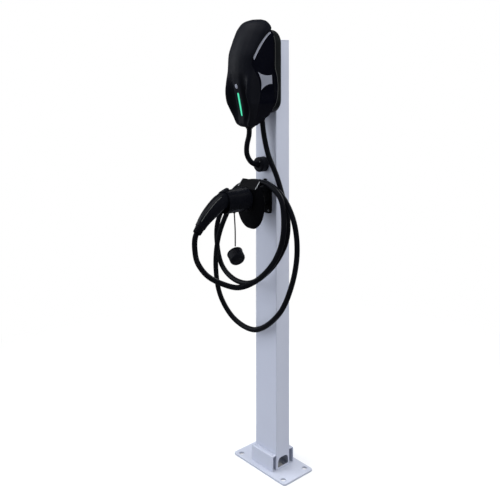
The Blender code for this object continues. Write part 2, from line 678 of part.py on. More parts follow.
def cable_boss():
    """Domed entry on the post's front face, where the supply cable goes inside."""
    x, z = BOSS_AT
    profile = [(0, BOSS_RADIUS)]
    for i in range(5):
        turn = math.radians(22.5 * i)
        reach = BOSS_DEPTH - BOSS_ROUND * (1 - math.sin(turn))
        profile.append((reach, BOSS_RADIUS - BOSS_ROUND * (1 - math.cos(turn))))
    boss = turned("cable_boss", (x, -FACE - GAP, z), (0, -1, 0), profile, black_rubber(), sides=24)
    round_cut(boss, "boss_bore", (x, -FACE - BOSS_DEPTH - 0.002, z), (0, 1, 0), 0.0105, 0.018, sides=16)
    screw("boss_screw", (x + 0.010, -FACE - BOSS_DEPTH - 2 * GAP, z + 0.010), (0, -1, 0),
          shank_radius=0.001, shank=0.0001, head_radius=0.0022, head=0.001)


# ---------------------------------------------------------------- cable holder


def holder_body():
    """Back plate with the hollow neck that the coiled cable hangs on."""
    width, low, high, front = HOLDER_PLATE
    centre = (low + high) / 2
    plate = rounded_rect(width, high - low, 0.008, steps=5)

    def circle(radius, depth):
        ring = []
        for i in range(24):
            turn = math.radians(-90 + 15 * i + 7.5)
            ring.append(Vector((radius * math.cos(turn), -depth, SOCKET_Z + radius * math.sin(turn))))
        return ring

    back = FACE + GAP
    neck_end = SHIELD_DEPTH[0] - GAP
    rings = [circle(NECK_BORE, back + 0.004), circle(NECK_BORE, neck_end), circle(NECK_RADIUS, neck_end),
             circle(NECK_RADIUS, front), at_depth(plate, front, centre), at_depth(plate, back, centre)]
    body = skin("holder_body", rings, satin_black())
    tab = rounded_rect(0.014, 0.040, 0.0065)
    tool = skin("holder_tab", [at_depth(tab, back, 0.923), at_depth(tab, back + 0.004, 0.923)], satin_black())
    combine(body, tool, "UNION")
    for i, (x, z) in enumerate(HOLDER_SCREWS):
        head_at = back + 0.004 if i == 0 else front
        round_cut(body, f"holder_hole_{i}", (x, -head_at - 0.002, z), (0, 1, 0), 0.0026, 0.014)
        screw(f"holder_screw_{i + 1}", (x, -head_at - GAP, z), (0, -1, 0), shank=head_at - FACE + 0.004)


def shield_outline(scale):
    """Front outline of the shield: flat top, wide shoulders and a rounded lower tip."""
    half = [(0.000, -0.0995), (0.019, -0.0975), (0.0405, -0.0840), (0.054, -0.065), (0.0615, -0.045),
            (0.066, -0.022), (0.0655, 0.004), (0.060, 0.030), (0.048, 0.050), (0.035, 0.061), (0.015, 0.062)]
    outline = half + [(0.0, 0.062)] + [(-x, z) for x, z in reversed(half[1:])]
    return [(x * scale, z * scale) for x, z in outline]


def holder_shield():
    """Flared front plate that stops the coil sliding off, with a collar round the socket and a hood."""

    def collar(radius, depth):
        ring = []
        for x, z in shield_outline(1):
            spoke = Vector((x, 0, z)).normalized()
            ring.append(Vector((spoke.x * radius, -depth, SOCKET_Z + spoke.z * radius)))
        return ring

    back, front = SHIELD_DEPTH
    rings = [collar(0.029, back), at_depth(shield_outline(0.97), back, SOCKET_Z),
             at_depth(shield_outline(1), back + 0.003, SOCKET_Z),
             at_depth(shield_outline(0.985), back + 0.007, SOCKET_Z),
             at_depth(shield_outline(0.76), front - 0.004, SOCKET_Z),
             collar(0.041, front), collar(0.029, front)]
    shield = skin("holder_shield", rings, satin_black(), closed=True)
    (rear, high), (lip, low) = HOOD_SLOPE
    block = [(rear, SOCKET_Z + 0.066), (rear, SOCKET_Z + HOOD_FOOT), (lip, SOCKET_Z + HOOD_FOOT),
             (lip, SOCKET_Z + 0.066)]
    combine(shield, prism_x("hood", block, -HOOD_HALF, HOOD_HALF, satin_black()), "UNION")
    fall = (low - high) / (lip - rear)
    above = [(rear - 0.006, SOCKET_Z + high - 0.006 * fall), (lip + 0.006, SOCKET_Z + low + 0.006 * fall),
             (lip + 0.006, SOCKET_Z + 0.09), (rear - 0.006, SOCKET_Z + 0.09)]
    combine(shield, prism_x("above_hood", above, -0.08, 0.08, satin_black()))
    round_cut(shield, "hood_bore", (0, -back + 0.004, SOCKET_Z), (0, -1, 0), 0.0288, 0.05, 24)


# ---------------------------------------------------------------- charging gun


def section_ring(depth, z, half_width, half_height, pitch, sides=20):
    """Oval slice of the gun, tipped by pitch degrees towards the handle's fall."""
    tip = math.radians(pitch)
    up = Vector((0, -math.sin(tip), math.cos(tip)))
    ring = []
    for i in range(sides):
        turn = math.tau * i / sides
        offset = Vector((half_width * math.cos(turn), 0, 0)) + up * half_height * math.sin(turn)
        ring.append(Vector((0, -depth, z)) + offset)
    return ring


def button_frame():
    tip = math.radians(BUTTON_PITCH)
    out = Vector((0, -math.sin(tip), math.cos(tip)))
    along = Vector((0, -math.cos(tip), -math.sin(tip)))
    return Vector((0, -BUTTON_AT[0], BUTTON_AT[1])), out, along


def button_block(name, slack, low, high, look, origin=(0, 0, 0)):
    centre, out, along = button_frame()
    outline = rounded_rect(BUTTON_SIZE[0] + 2 * slack, BUTTON_SIZE[1] + 2 * slack, 0.005 + slack)
    rings = []
    for lift, ease in ((low, 0), (high - 0.002, 0), (high, 0.0015)):
        scale = 1 - ease / 0.0075
        rings.append([centre + out * lift + (Vector((x, 0, 0)) + along * y) * scale for x, y in outline])
    return skin(name, rings, look, origin=origin)


def gun_housing():
    rings = [section_ring(*section) for section in GUN_SECTIONS]
    housing = skin("gun_housing", rings, satin_black())
    combine(housing, button_block("button_pocket", 0.0005, -0.0085, 0.012, satin_black()))


def release_button():
    centre = button_frame()[0]
    low = -0.0085 + BUTTON_TRAVEL + 0.0008
    button_block("release_button", 0, low, low + BUTTON_SIZE[2], satin_black(), origin=centre)


def gun_nose():
    """Connector shroud, its contact carrier and seven contacts."""
    length = NOSE_ROOT - NOSE_TIP
    bore = NOSE_RADIUS - 0.003
    base = (0, -NOSE_TIP, SOCKET_Z)
    outward = (0, -1, 0)
    profile = [(0.042, bore), (0, bore), (0, NOSE_RADIUS - 0.001), (0.001, NOSE_RADIUS), (length, NOSE_RADIUS)]
    turned("gun_nose", base, outward, profile, satin_black(), sides=24)
    carrier_base = (0, -NOSE_TIP - 0.004, SOCKET_Z)
    carrier = turned("contact_carrier", carrier_base, outward, [(0, bore - GAP), (0.0375, bore - GAP)],
                     insulation(), sides=24)
    for name, (x, z, radius) in CONTACTS.items():
        start = (x, -NOSE_TIP - 0.002, SOCKET_Z + z)
        round_cut(carrier, f"{name}_hole", start, outward, radius, 0.034)
        sleeve = [(0.004, radius - GAP), (0.034 - 0.0006, radius - GAP)]
        turned(name, start, outward, sleeve, contact_metal(), sides=12)


def strain_relief():
    depth, z, _, _, pitch = GUN_SECTIONS[-1]
    tip = math.radians(pitch)
    along = Vector((0, -math.cos(tip), -math.sin(tip)))
    base = Vector((0, -depth, z)) + along * 0.0022
    turned("strain_relief", base, along, STRAIN_RELIEF, black_rubber(), sides=16)


# ---------------------------------------------------------------- dust cap on its lanyard


def lanyard():
    top = Vector((0, -LANYARD_TOP[0], LANYARD_TOP[1]))
    end = Vector((0, -LANYARD_END[0], LANYARD_END[1]))
    anchor = [(0, 0.003), (0.003, 0.004), (0.0058, 0.004)]
    turned("lanyard_anchor", top + Vector((0, 0, 0.0008)), (0, 0, 1), anchor, satin_black(), sides=12)
    middle = (top + end) / 2 + Vector((0, 0.0015, 0))
    line = smooth_path([top, middle, end], 3)
    sweep("lanyard_cord", line, LANYARD_RADIUS, black_rubber(), sides=6, origin=top)


def dust_cap():
    end = Vector((0, -LANYARD_END[0], LANYARD_END[1]))
    facing = Vector((0.5, -0.85, -0.12))
    centre = Vector((0, -DUST_CAP_CENTRE[0], DUST_CAP_CENTRE[1]))
    base = centre - facing.normalized() * DUST_CAP_DEPTH / 2
    radius, depth = DUST_CAP_RADIUS, DUST_CAP_DEPTH
    profile = [(depth - 0.004, radius - 0.003), (0, radius - 0.003), (0, radius), (depth * 0.8, radius),
               (depth, radius - 0.006)]
    turned("dust_cap", base, facing, profile, black_rubber(), sides=24, origin=end)


# ---------------------------------------------------------------- assembly


def build():
    for old in list(bpy.data.objects):
        bpy.data.objects.remove(old)
    base_plate()
    post_tube()
    post_cap()
    foot_angle("front_foot_angle", -1)
    foot_angle("rear_foot_angle", 1)
    wall_bracket()
    rear_housing()
    housing_gasket()
    side_housing()
    front_cover()
    light_bar()
    badge()
    for label, side in (("left", -1), ("right", 1)):
        upper_trim(f"upper_trim_{label}", side)
        lower_trim(f"lower_trim_{label}", side)
    electronics()
    charger_glands()
    cables()
    cable_boss()
    holder_body()
    holder_shield()
    gun_housing()
    release_button()
    gun_nose()
    strain_relief()
    lanyard()
    dust_cap()


build()
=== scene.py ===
"""Looks of the EV charging post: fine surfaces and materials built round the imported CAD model.

Units are metres, +Z is up, the charger faces -Y. A depth is a distance in front of the post's axis,
so a depth of 0.1 lies at Y = -0.1. Sections and profiles are given as (X, depth) or (depth, height).
"""

import json
import math

import bmesh
import bpy
import numpy as np
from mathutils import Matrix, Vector


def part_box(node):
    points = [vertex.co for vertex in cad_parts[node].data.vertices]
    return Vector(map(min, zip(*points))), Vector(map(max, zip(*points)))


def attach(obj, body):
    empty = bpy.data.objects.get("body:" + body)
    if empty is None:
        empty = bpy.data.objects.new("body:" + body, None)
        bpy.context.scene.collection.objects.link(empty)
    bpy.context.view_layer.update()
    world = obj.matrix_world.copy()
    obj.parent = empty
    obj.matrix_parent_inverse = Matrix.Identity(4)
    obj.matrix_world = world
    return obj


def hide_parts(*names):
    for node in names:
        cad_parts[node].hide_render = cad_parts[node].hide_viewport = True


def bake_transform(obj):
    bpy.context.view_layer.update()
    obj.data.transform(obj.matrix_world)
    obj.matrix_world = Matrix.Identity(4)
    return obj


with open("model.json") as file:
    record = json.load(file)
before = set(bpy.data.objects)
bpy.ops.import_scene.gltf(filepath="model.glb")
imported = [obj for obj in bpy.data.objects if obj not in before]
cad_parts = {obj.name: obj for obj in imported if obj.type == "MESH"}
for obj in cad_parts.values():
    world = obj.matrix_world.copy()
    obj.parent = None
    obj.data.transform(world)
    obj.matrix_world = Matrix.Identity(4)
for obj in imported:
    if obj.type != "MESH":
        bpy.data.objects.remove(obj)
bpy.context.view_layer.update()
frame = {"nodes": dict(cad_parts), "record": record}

# ---------------------------------------------------------------- dimensions

POST_LOW, POST_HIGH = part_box("post_tube")
PLATE_LOW, PLATE_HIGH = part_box("base_plate")
CAP_LOW, CAP_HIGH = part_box("post_cap")
SHELL_LOW, SHELL_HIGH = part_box("rear_housing")
SIDE_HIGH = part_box("side_housing")[1]
TUBE_WIDTH = POST_HIGH.x - POST_LOW.x
TUBE_DEPTH = POST_HIGH.y - POST_LOW.y
FACE = TUBE_DEPTH / 2
GAP = 0.0003

TUBE_WALL, TUBE_CORNER = 0.002, 0.003
BOLT_X, BOLT_Y, BOLT_HOLE_RADIUS = 0.100, 0.048, 0.0085
ARCH_WIDTH, ARCH_HEIGHT, ARCH_RADIUS, ARCH_SILL = 0.046, 0.035, 0.016, 0.005

MASK_BACK = -SIDE_HIGH.y
MASK_WALL, SIDE_INSET, SIDE_WALL = 0.003, 0.0034, 0.003
SIDE_SLOPE = 0.246
MASK_FOOT_ROUND = 0.008
FLARE_SWELL, FLARE_TOP = 0.0088, 1.428
CROWN_START = 1.450

# Charger front by height: half width at the back, depth of the cheeks, depth of the centre band,
# depth of the valleys beside the band.
FORM = [(1.118, 0.042, 0.1235, 0.130, 0.0), (1.131, 0.050, 0.134, 0.135, 0.005),
        (1.150, 0.060, 0.137, 0.136, 0.008), (1.175, 0.072, 0.1445, 0.139, 0.012),
        (1.200, 0.078, 0.155, 0.144, 0.014), (1.232, 0.077, 0.162, 0.152, 0.014),
        (1.262, 0.077, 0.158, 0.160, 0.008), (1.300, 0.077, 0.150, 0.165, 0.0),
        (1.345, 0.077, 0.146, 0.161, 0.0), (1.390, 0.077, 0.126, 0.147, 0.0),
        (1.425, 0.0755, 0.106, 0.131, 0.0), (1.441, 0.0695, 0.097, 0.122, 0.0),
        (1.454, 0.0570, 0.091, 0.112, 0.0), (1.462, 0.042, 0.082, 0.094, 0.0),
        (1.466, 0.022, 0.0775, 0.0795, 0.0)]
FORM_Z, FORM_HALF, FORM_CHEEK, FORM_NOSE, FORM_VALLEY = zip(*FORM)
FORM_MIDDLE = (FORM_Z[0] + FORM_Z[-1]) / 2
FORM_REACH = (FORM_Z[-1] - FORM_Z[0]) / 2

# Rear edge of the mask seen from the side, as (depth, height) from the foot upwards.
MASK_EDGE = [(0.109, 1.121), (0.117, 1.150), (0.121, 1.188), (0.115, 1.232), (0.120, 1.270),
             (0.133, 1.296), (0.144, 1.322), (0.142, 1.340), (0.133, 1.359), (0.120, 1.381),
             (0.106, 1.400), (0.092, 1.416), (0.075, 1.431), (MASK_BACK, 1.437)]
CHIN = ((0.110, 1.112), (0.066, 1.163))

STRIP_START, STRIP_END, STRIP_BULGE, STRIP_WIDTH = (0.0765, 1.420), (0.136, 1.337), 0.011, 0.0095
TRIM_THICK, TRIM_LIFT = 0.0012, 0.0007
STAR_CORNERS = [(0.122, 1.297), (0.0785, 1.287), (0.0770, 1.258), (0.111, 1.238)]
STAR_HOLLOW = 0.006

LIGHT_LOW, LIGHT_HIGH, LIGHT_WIDTH = (0.1336, 1.154), (0.1512, 1.229), 0.0088
BADGE_AT, BADGE_RADII = (0.1571, 1.250), (0.0066, 0.0076)
SUPPLY_EXIT, OUTPUT_EXIT = (0.0, 0.103), (0.010, 0.054)

SHELL_WALL, SHELL_CORNER, OPENING_MARGIN = 0.003, 0.045, 0.026
SHELL_ROUND, RIM_STEP = 0.006, 0.0048             # rear edge's rounding, facet's inset at the front rim
LEAF_Z, LEAF_REACH, FACET_REACH = (1.176, 1.306), 0.0125, 0.0020
BRACKET_SCREW_Z = (1.240, 1.380)
SCREW_HOLE_RADIUS = 0.0026
CABLE_RADIUS = 0.0085
CABLE_SIDES = 28

BOSS_LOW, BOSS_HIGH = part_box("cable_boss")
BOSS_RADIUS = (BOSS_HIGH.x - BOSS_LOW.x) / 2
BOSS_CENTRE = (BOSS_LOW + BOSS_HIGH) / 2
BOSS_ROUND = 0.006

SOCKET_Z = 0.888
NECK_RADIUS, NECK_BORE = 0.031, 0.028
SHIELD_DEPTH = (0.094, 0.116)
HOLDER_PLATE = (0.060, 0.832, 0.920, 0.0383)      # width, foot, top and depth of its front
TAB_MIDDLE, TAB_THICK = 0.923, 0.004
HOLDER_SCREWS = [(0.0, 0.934), (-0.022, 0.842), (0.022, 0.842)]
SHIELD_HALF = [(0.000, -0.0995), (0.019, -0.0975), (0.0405, -0.0840), (0.054, -0.065),
               (0.0615, -0.045), (0.066, -0.022), (0.0650, 0.002), (0.0575, 0.024)]
HOOD_HALF, HOOD_FOOT = 0.0415, 0.012              # half width, underside above the socket's axis
HOOD_SLOPE = ((0.0945, 0.0575), (0.1155, 0.0330))  # depth and height of its rear and front edges
HOOD_BLOCK_TOP, HOOD_OVERHANG = 0.066, 0.006      # block before its top is sloped, reach of the cutter
SOCKET_CUT_RADIUS = 0.0288
HOOD_CORNERS = [(0.0500, 0.036), (0.0430, 0.047), (0.0360, 0.0585), (0.0320, 0.0625)]

NOSE_RADIUS, NOSE_TIP, NOSE_ROOT = 0.0272, 0.046, 0.1174
# Radius of the thin pale rods along the hood's edges, which are a painted highlight.
GLINT_RADIUS = 0.0011
# Gun body: depth, height, half width, half height and pitch of each section, nose to tail.
GUN_SECTIONS = [(0.1177, 0.888, 0.0335, 0.0335, 0), (0.119, 0.888, 0.0355, 0.0362, 0),
                (0.1225, 0.888, 0.0362, 0.0372, 0), (0.150, 0.888, 0.035, 0.037, 0),
                (0.175, 0.890, 0.032, 0.034, 6), (0.194, 0.8945, 0.0275, 0.0295, 18),
                (0.216, 0.892, 0.025, 0.0265, 31), (0.240, 0.880, 0.0235, 0.024, 38),
                (0.271, 0.857, 0.0205, 0.021, 43), (0.2925, 0.837, 0.0172, 0.0172, 48),
                (0.303, 0.8245, 0.016, 0.016, 51)]
SEAM_CORNERS, SEAM_RINGS, SEAM_RADIUS = (("right", 11), ("left", 25)), slice(43, 65), 0.0008
BUTTON_AT, BUTTON_PITCH = (0.2045, 0.9235), 18
BUTTON_SIZE = (0.015, 0.027, 0.011)
LANYARD_TOP, LANYARD_END, LANYARD_RADIUS = (0.1665, 0.8470), (0.1625, 0.7425), 0.0021
DUST_CAP_SIDE, DUST_CAP_FACING = 0.0035, (0.80, -0.24, -0.54)
DUST_CAP_CENTRE, DUST_CAP_RADIUS, DUST_CAP_DEPTH = (0.1600, 0.7094), 0.0258, 0.036

# Centre line of the charging cable: charger, small loop, over the holder's neck, big loop, over
# the neck again and out in front. The tail goes on from there into the gun's strain relief.
COIL_PATH = [
    (0.010, -0.054, 1.160), (0.010, -0.054, 1.132), (0.014, -0.052, 1.092), (0.034, -0.050, 1.024),
    (0.064, -0.042, 0.960), (0.088, -0.038, 0.896), (0.116, -0.044, 0.834), (0.122, -0.052, 0.776),
    (0.106, -0.060, 0.726), (0.058, -0.066, 0.662), (-0.030, -0.070, 0.600), (-0.112, -0.070, 0.592),
    (-0.184, -0.064, 0.620), (-0.216, -0.060, 0.678), (-0.218, -0.058, 0.764), (-0.124, -0.054, 0.896),
    (-0.020, -0.054, 0.932), (0.056, -0.056, 0.928), (0.114, -0.058, 0.896), (0.160, -0.060, 0.832),
    (0.170, -0.056, 0.740), (0.142, -0.052, 0.628), (0.080, -0.050, 0.520), (-0.034, -0.050, 0.440),
    (-0.136, -0.054, 0.452), (-0.192, -0.066, 0.516), (-0.198, -0.082, 0.614), (-0.182, -0.086, 0.714),
    (-0.146, -0.080, 0.804), (-0.060, -0.074, 0.922), (0.056, -0.074, 0.934), (0.118, -0.076, 0.898),
    (0.138, -0.082, 0.832), (0.134, -0.090, 0.758), (0.096, -0.098, 0.686), (0.042, -0.120, 0.630)]
TAIL_PATH = [(0.042, -0.120, 0.630), (0.002, -0.152, 0.610), (-0.028, -0.194, 0.624),
             (-0.042, -0.240, 0.654), (-0.036, -0.284, 0.704), (-0.014, -0.312, 0.752),
             (-0.002, -0.3215, 0.790), (0.0, -0.3175, 0.8068), (0.0, -0.310, 0.8160)]
SUPPLY_PATH = [(0.0, -0.103, 1.122), (-0.001, -0.103, 1.092), (-0.007, -0.107, 1.058),
               (-0.012, -0.102, 1.027), (-0.011, -0.086, 1.002), (-0.008, -0.066, 0.991),
               (-0.008, -0.048, 0.990)]

# ---------------------------------------------------------------- materials


class Graph:
    """Small helper that builds a material's node tree."""

    def __init__(self, name):
        self.look = bpy.data.materials.new(name)
        self.look.use_nodes = True
        self.nodes = self.look.node_tree.nodes
        self.shader = self.nodes["Principled BSDF"]
        place = self.node("ShaderNodeTexCoord")
        self.place = place.outputs["Object"]

    def node(self, kind, **settings):
        made = self.nodes.new(kind)
        for key, value in settings.items():
            setattr(made, key, value)
        return made

    def link(self, source, target):
        self.look.node_tree.links.new(source, target)

    def stretched(self, scale):
        """Object coordinates scaled by three factors."""
        mapping = self.node("ShaderNodeMapping")
        mapping.inputs["Scale"].default_value = scale
        self.link(self.place, mapping.inputs["Vector"])
        return mapping.outputs["Vector"]

    def noise(self, scale, detail=4.0, stretch=None, distortion=0.0):
        made = self.node("ShaderNodeTexNoise")
        made.inputs["Scale"].default_value = scale
        made.inputs["Detail"].default_value = detail
        made.inputs["Distortion"].default_value = distortion
        self.link(self.stretched(stretch) if stretch else self.place, made.inputs["Vector"])
        return made.outputs["Fac"]

    def spread(self, value, low, high, start=0.3, end=0.7):
        """Map a noise value onto a range."""
        made = self.node("ShaderNodeMapRange")
        made.inputs["From Min"].default_value = start
        made.inputs["From Max"].default_value = end
        made.inputs["To Min"].default_value = low
        made.inputs["To Max"].default_value = high
        self.link(value, made.inputs["Value"])
        return made.outputs["Result"]

    def between(self, value, first, second):
        """Mix two colours by a value from 0 to 1."""
        made = self.node("ShaderNodeMix", data_type="RGBA")
        self.link(value, made.inputs["Factor"])
        for socket, colour in ((made.inputs["A"], first), (made.inputs["B"], second)):
            if isinstance(colour, tuple):
                socket.default_value = (*colour, 1)
            else:
                self.link(colour, socket)
        return made.outputs["Result"]

    def bump(self, height, distance, strength=1.0, under=None):
        made = self.node("ShaderNodeBump")
        made.inputs["Distance"].default_value = distance
        made.inputs["Strength"].default_value = strength
        self.link(height, made.inputs["Height"])
        if under:
            self.link(under, made.inputs["Normal"])
        return made.outputs["Normal"]


def surface(name, dark, light, rough, grain, depth, patch=14.0, metallic=0.0, stretch=None,
            coat=0.0, specular=0.5, ripple=None):
    """Material whose colour drifts in patches, with a fine grain in its bump and roughness."""
    graph = Graph(name)
    patches = graph.spread(graph.noise(patch, 5.0), 0.0, 1.0)
    graph.link(graph.between(patches, dark, light), graph.shader.inputs["Base Color"])
    smudges = graph.noise(patch * 3.7, 6.0, distortion=0.4)
    graph.link(graph.spread(smudges, *rough), graph.shader.inputs["Roughness"])
    normal = graph.bump(graph.noise(grain, 2.0, stretch), depth)
    if ripple:
        scale, height = ripple
        normal = graph.bump(graph.noise(scale, 2.0), height, under=normal)
    graph.link(normal, graph.shader.inputs["Normal"])
    graph.shader.inputs["Metallic"].default_value = metallic
    graph.shader.inputs["Coat Weight"].default_value = coat
    graph.shader.inputs["Coat Roughness"].default_value = 0.08
    graph.shader.inputs["Specular IOR Level"].default_value = specular
    return graph.look


def circuit_board():
    """Green solder mask with copper tracks, pads and a scatter of small pale parts."""
    graph = Graph("circuit_board")
    cells = graph.node("ShaderNodeTexBrick", offset=0.5)
    graph.link(graph.stretched((1, 1, 1)), cells.inputs["Vector"])
    cells.inputs["Scale"].default_value = 160
    cells.inputs["Color1"].default_value = (0.012, 0.10, 0.045, 1)
    cells.inputs["Color2"].default_value = (0.016, 0.13, 0.055, 1)
    cells.inputs["Mortar"].default_value = (0.05, 0.26, 0.11, 1)
    cells.inputs["Mortar Size"].default_value = 0.06
    dots = graph.node("ShaderNodeTexVoronoi", feature="F1")
    dots.inputs["Scale"].default_value = 110
    graph.link(graph.place, dots.inputs["Vector"])
    pads = graph.spread(dots.outputs["Distance"], 1.0, 0.0, 0.10, 0.16)
    colour = graph.between(pads, cells.outputs["Color"], (0.62, 0.60, 0.52))
    graph.link(colour, graph.shader.inputs["Base Color"])
    graph.link(graph.spread(pads, 0.45, 0.25, 0.0, 1.0), graph.shader.inputs["Roughness"])
    graph.link(graph.bump(pads, 0.0002), graph.shader.inputs["Normal"])
    return graph.look


def light_lens():
    """Lit diffuser: brightest along its middle, deeper green at its edges, faintly uneven."""
    graph = Graph("light_lens")
    split = graph.node("ShaderNodeSeparateXYZ")
    graph.link(graph.place, split.inputs["Vector"])
    offset = graph.node("ShaderNodeMath", operation="ABSOLUTE")
    graph.link(split.outputs["X"], offset.inputs[0])
    edge = graph.spread(offset.outputs["Value"], 0.0, 1.0, LIGHT_WIDTH * 0.22, LIGHT_WIDTH * 0.52)
    colour = graph.between(edge, (0.085, 0.74, 0.43), (0.004, 0.20, 0.105))
    graph.link(colour, graph.shader.inputs["Emission Color"])
    glow = graph.spread(graph.noise(90, 2.0), 0.92, 1.06)
    graph.link(glow, graph.shader.inputs["Emission Strength"])
    colour = graph.between(edge, (0.02, 0.20, 0.11), (0.004, 0.05, 0.03))
    graph.link(colour, graph.shader.inputs["Base Color"])
    graph.link(graph.spread(graph.noise(400, 2.0), 0.25, 0.35), graph.shader.inputs["Roughness"])
    return graph.look


def build_looks():
    """Every material of the object, by the record's slot name."""
    looks = {
        "powder_coat": surface("powder_coat", (0.50, 0.53, 0.630), (0.54, 0.57, 0.670), (0.42, 0.52),
                               900.0, 0.00008, patch=5.0, ripple=(160.0, 0.00004), specular=0.4),
        "satin_black": surface("satin_black", (0.0028, 0.0034, 0.0062), (0.0044, 0.0050, 0.0084),
                               (0.46, 0.54), 1500.0, 0.00003, specular=0.20),
        # Pale grey: painted highlight on the hood's side edges.
        "painted_highlight_bright": surface("painted_highlight_bright", (0.30, 0.31, 0.33), (0.40, 0.41, 0.43), (0.2, 0.3), 900.0,
                               0.00002, specular=0.5),
        # Light grey: painted highlight on the rear housing's facets and on the handle seams.
        "painted_highlight_grey": surface("painted_highlight_grey", (0.075, 0.080, 0.078), (0.100, 0.105, 0.102), (0.3, 0.4), 900.0,
                             0.00003, specular=0.3),
        "textured_black": surface("textured_black", (0.0010, 0.0011, 0.0017), (0.0018, 0.0019, 0.0027),
                                  (0.44, 0.54), 1100.0, 0.00008, specular=0.10),
        "housing_black": surface("housing_black", (0.0026, 0.0036, 0.0044), (0.0042, 0.0052, 0.0062),
                                 (0.40, 0.50), 1100.0, 0.00007, specular=0.11),
        "gloss_black": surface("gloss_black", (0.0012, 0.0014, 0.0036), (0.0020, 0.0023, 0.0052),
                               (0.10, 0.16), 60.0, 0.00002, patch=22.0, specular=0.22),
        "gun_black": surface("gun_black", (0.0020, 0.0023, 0.0040), (0.0036, 0.0039, 0.0062),
                             (0.26, 0.34), 420.0, 0.00001, specular=0.16),
        "silver_trim": surface("silver_trim", (0.27, 0.285, 0.345), (0.31, 0.325, 0.390), (0.36, 0.46),
                               240.0, 0.00003, metallic=0.25, stretch=(9.0, 1.0, 9.0)),
        "black_rubber": surface("black_rubber", (0.0022, 0.0026, 0.0043), (0.0038, 0.0042, 0.0065),
                                (0.36, 0.46), 700.0, 0.00005, patch=20.0, specular=0.15),
        "insulation": surface("insulation", (0.030, 0.030, 0.034), (0.050, 0.050, 0.055), (0.48, 0.6),
                              1300.0, 0.00010, patch=40.0),
        "zinc_steel": surface("zinc_steel", (0.50, 0.51, 0.53), (0.62, 0.63, 0.66), (0.26, 0.42),
                              420.0, 0.00004, patch=70.0, metallic=1.0),
        "contact_metal": surface("contact_metal", (0.66, 0.63, 0.54), (0.80, 0.77, 0.68), (0.18, 0.3),
                                 500.0, 0.00003, patch=90.0, metallic=1.0, stretch=(1.0, 0.15, 1.0)),
        "circuit_board": circuit_board(),
        "light_lens": light_lens()}
    return looks


looks = build_looks()

# ---------------------------------------------------------------- building blocks


def make(name, points, faces, look):
    """Mesh object from points and faces, with its faces turned outwards."""
    mesh = bpy.data.meshes.new(name)
    mesh.from_pydata([tuple(p) for p in points], [], faces)
    work = bmesh.new()
    work.from_mesh(mesh)
    bmesh.ops.recalc_face_normals(work, faces=work.faces)
    if work.calc_volume(signed=True) < 0:
        bmesh.ops.reverse_faces(work, faces=work.faces)
    work.to_mesh(mesh)
    work.free()
    mesh.materials.append(looks[look])
    made = bpy.data.objects.new(name, mesh)
    bpy.context.scene.collection.objects.link(made)
    return made


def loft(name, rings, look, closed=False):
    """Bridge rings of equally many points, with end caps or closed into a hoop."""
    count = len(rings[0])
    points = [point for ring in rings for point in ring]
    faces = []
    for i in range(len(rings) - (0 if closed else 1)):
        a, b = i * count, (i + 1) % len(rings) * count
        for j in range(count):
            k = (j + 1) % count
            faces.append((a + j, a + k, b + k, b + j))
    if not closed:
        faces.append(tuple(range(count)))
        faces.append(tuple(range(len(points) - count, len(points))))
    return make(name, points, faces, look)


def rounded_rect(width, height, radius, steps=8):
    """Outline of a rectangle with rounded corners, anticlockwise from the lower right."""
    outline = []
    for sx, sy, start in [(1, -1, -90), (1, 1, 0), (-1, 1, 90), (-1, -1, 180)]:
        centre = (sx * (width / 2 - radius), sy * (height / 2 - radius))
        for i in range(steps + 1):
            turn = math.radians(start + 90 * i / steps)
            outline.append((centre[0] + radius * math.cos(turn), centre[1] + radius * math.sin(turn)))
    return outline


def at_height(outline, z):
    return [Vector((x, y, z)) for x, y in outline]


def at_depth(outline, depth, centre_z=0.0):
    return [Vector((x, -depth, centre_z + z)) for x, z in outline]


def prism_x(name, outline, low, high, look):
    """Extrude a (depth, height) outline along X."""
    return loft(name, [[Vector((x, -depth, z)) for depth, z in outline] for x in (low, high)], look)


def axes_of(axis):
    along = Vector(axis).normalized()
    across = along.orthogonal().normalized()
    return along, across, along.cross(across)


def turned(name, base, axis, profile, look, sides=48, closed=False, wave=None):
    """Turn a profile of (distance along the axis, radius) points about an axis through base."""
    along, across, third = axes_of(axis)
    rings = []
    for distance, radius in profile:
        ring = []
        for i in range(sides):
            turn = math.tau * i / sides
            reach = radius + (wave(distance, turn) if wave else 0.0)
            spoke = across * math.cos(turn) + third * math.sin(turn)
            ring.append(Vector(base) + along * distance + spoke * reach)
        rings.append(ring)
    return loft(name, rings, look, closed)


def settle(piece):
    """Apply a piece's modifiers to its mesh."""
    graph = bpy.context.evaluated_depsgraph_get()
    result = bpy.data.meshes.new_from_object(piece.evaluated_get(graph))
    piece.modifiers.clear()
    old = piece.data
    piece.data = result
    bpy.data.meshes.remove(old)


def mend(piece):
    """Join nearly meeting corners beside open edges, then fill the gaps that are left."""
    mesh = bmesh.new()
    mesh.from_mesh(piece.data)
    for reach in (0.000002, 0.00001, 0.00003):
        gaps = [edge for edge in mesh.edges if len(edge.link_faces) != 2]
        if not gaps:
            break
        ends = list({corner for edge in gaps for corner in edge.verts})
        bmesh.ops.remove_doubles(mesh, verts=ends, dist=reach)
        bmesh.ops.dissolve_degenerate(mesh, dist=0.0000002, edges=mesh.edges)
        bmesh.ops.holes_fill(mesh, edges=[edge for edge in mesh.edges if edge.is_boundary], sides=0)
    mesh.to_mesh(piece.data)
    mesh.free()


def cut(piece, tool, operation="DIFFERENCE"):
    """Cut a tool's shape out of a piece, or join it on, and remove the tool."""
    change = piece.modifiers.new("cut", "BOOLEAN")
    change.operation = operation
    change.object = tool
    change.solver = "EXACT"
    settle(piece)
    mend(piece)
    bpy.data.objects.remove(tool)


def drill(piece, base, axis, radius, length, sides=32):
    cut(piece, turned("drill", base, axis, [(0, radius), (length, radius)], "zinc_steel", sides))


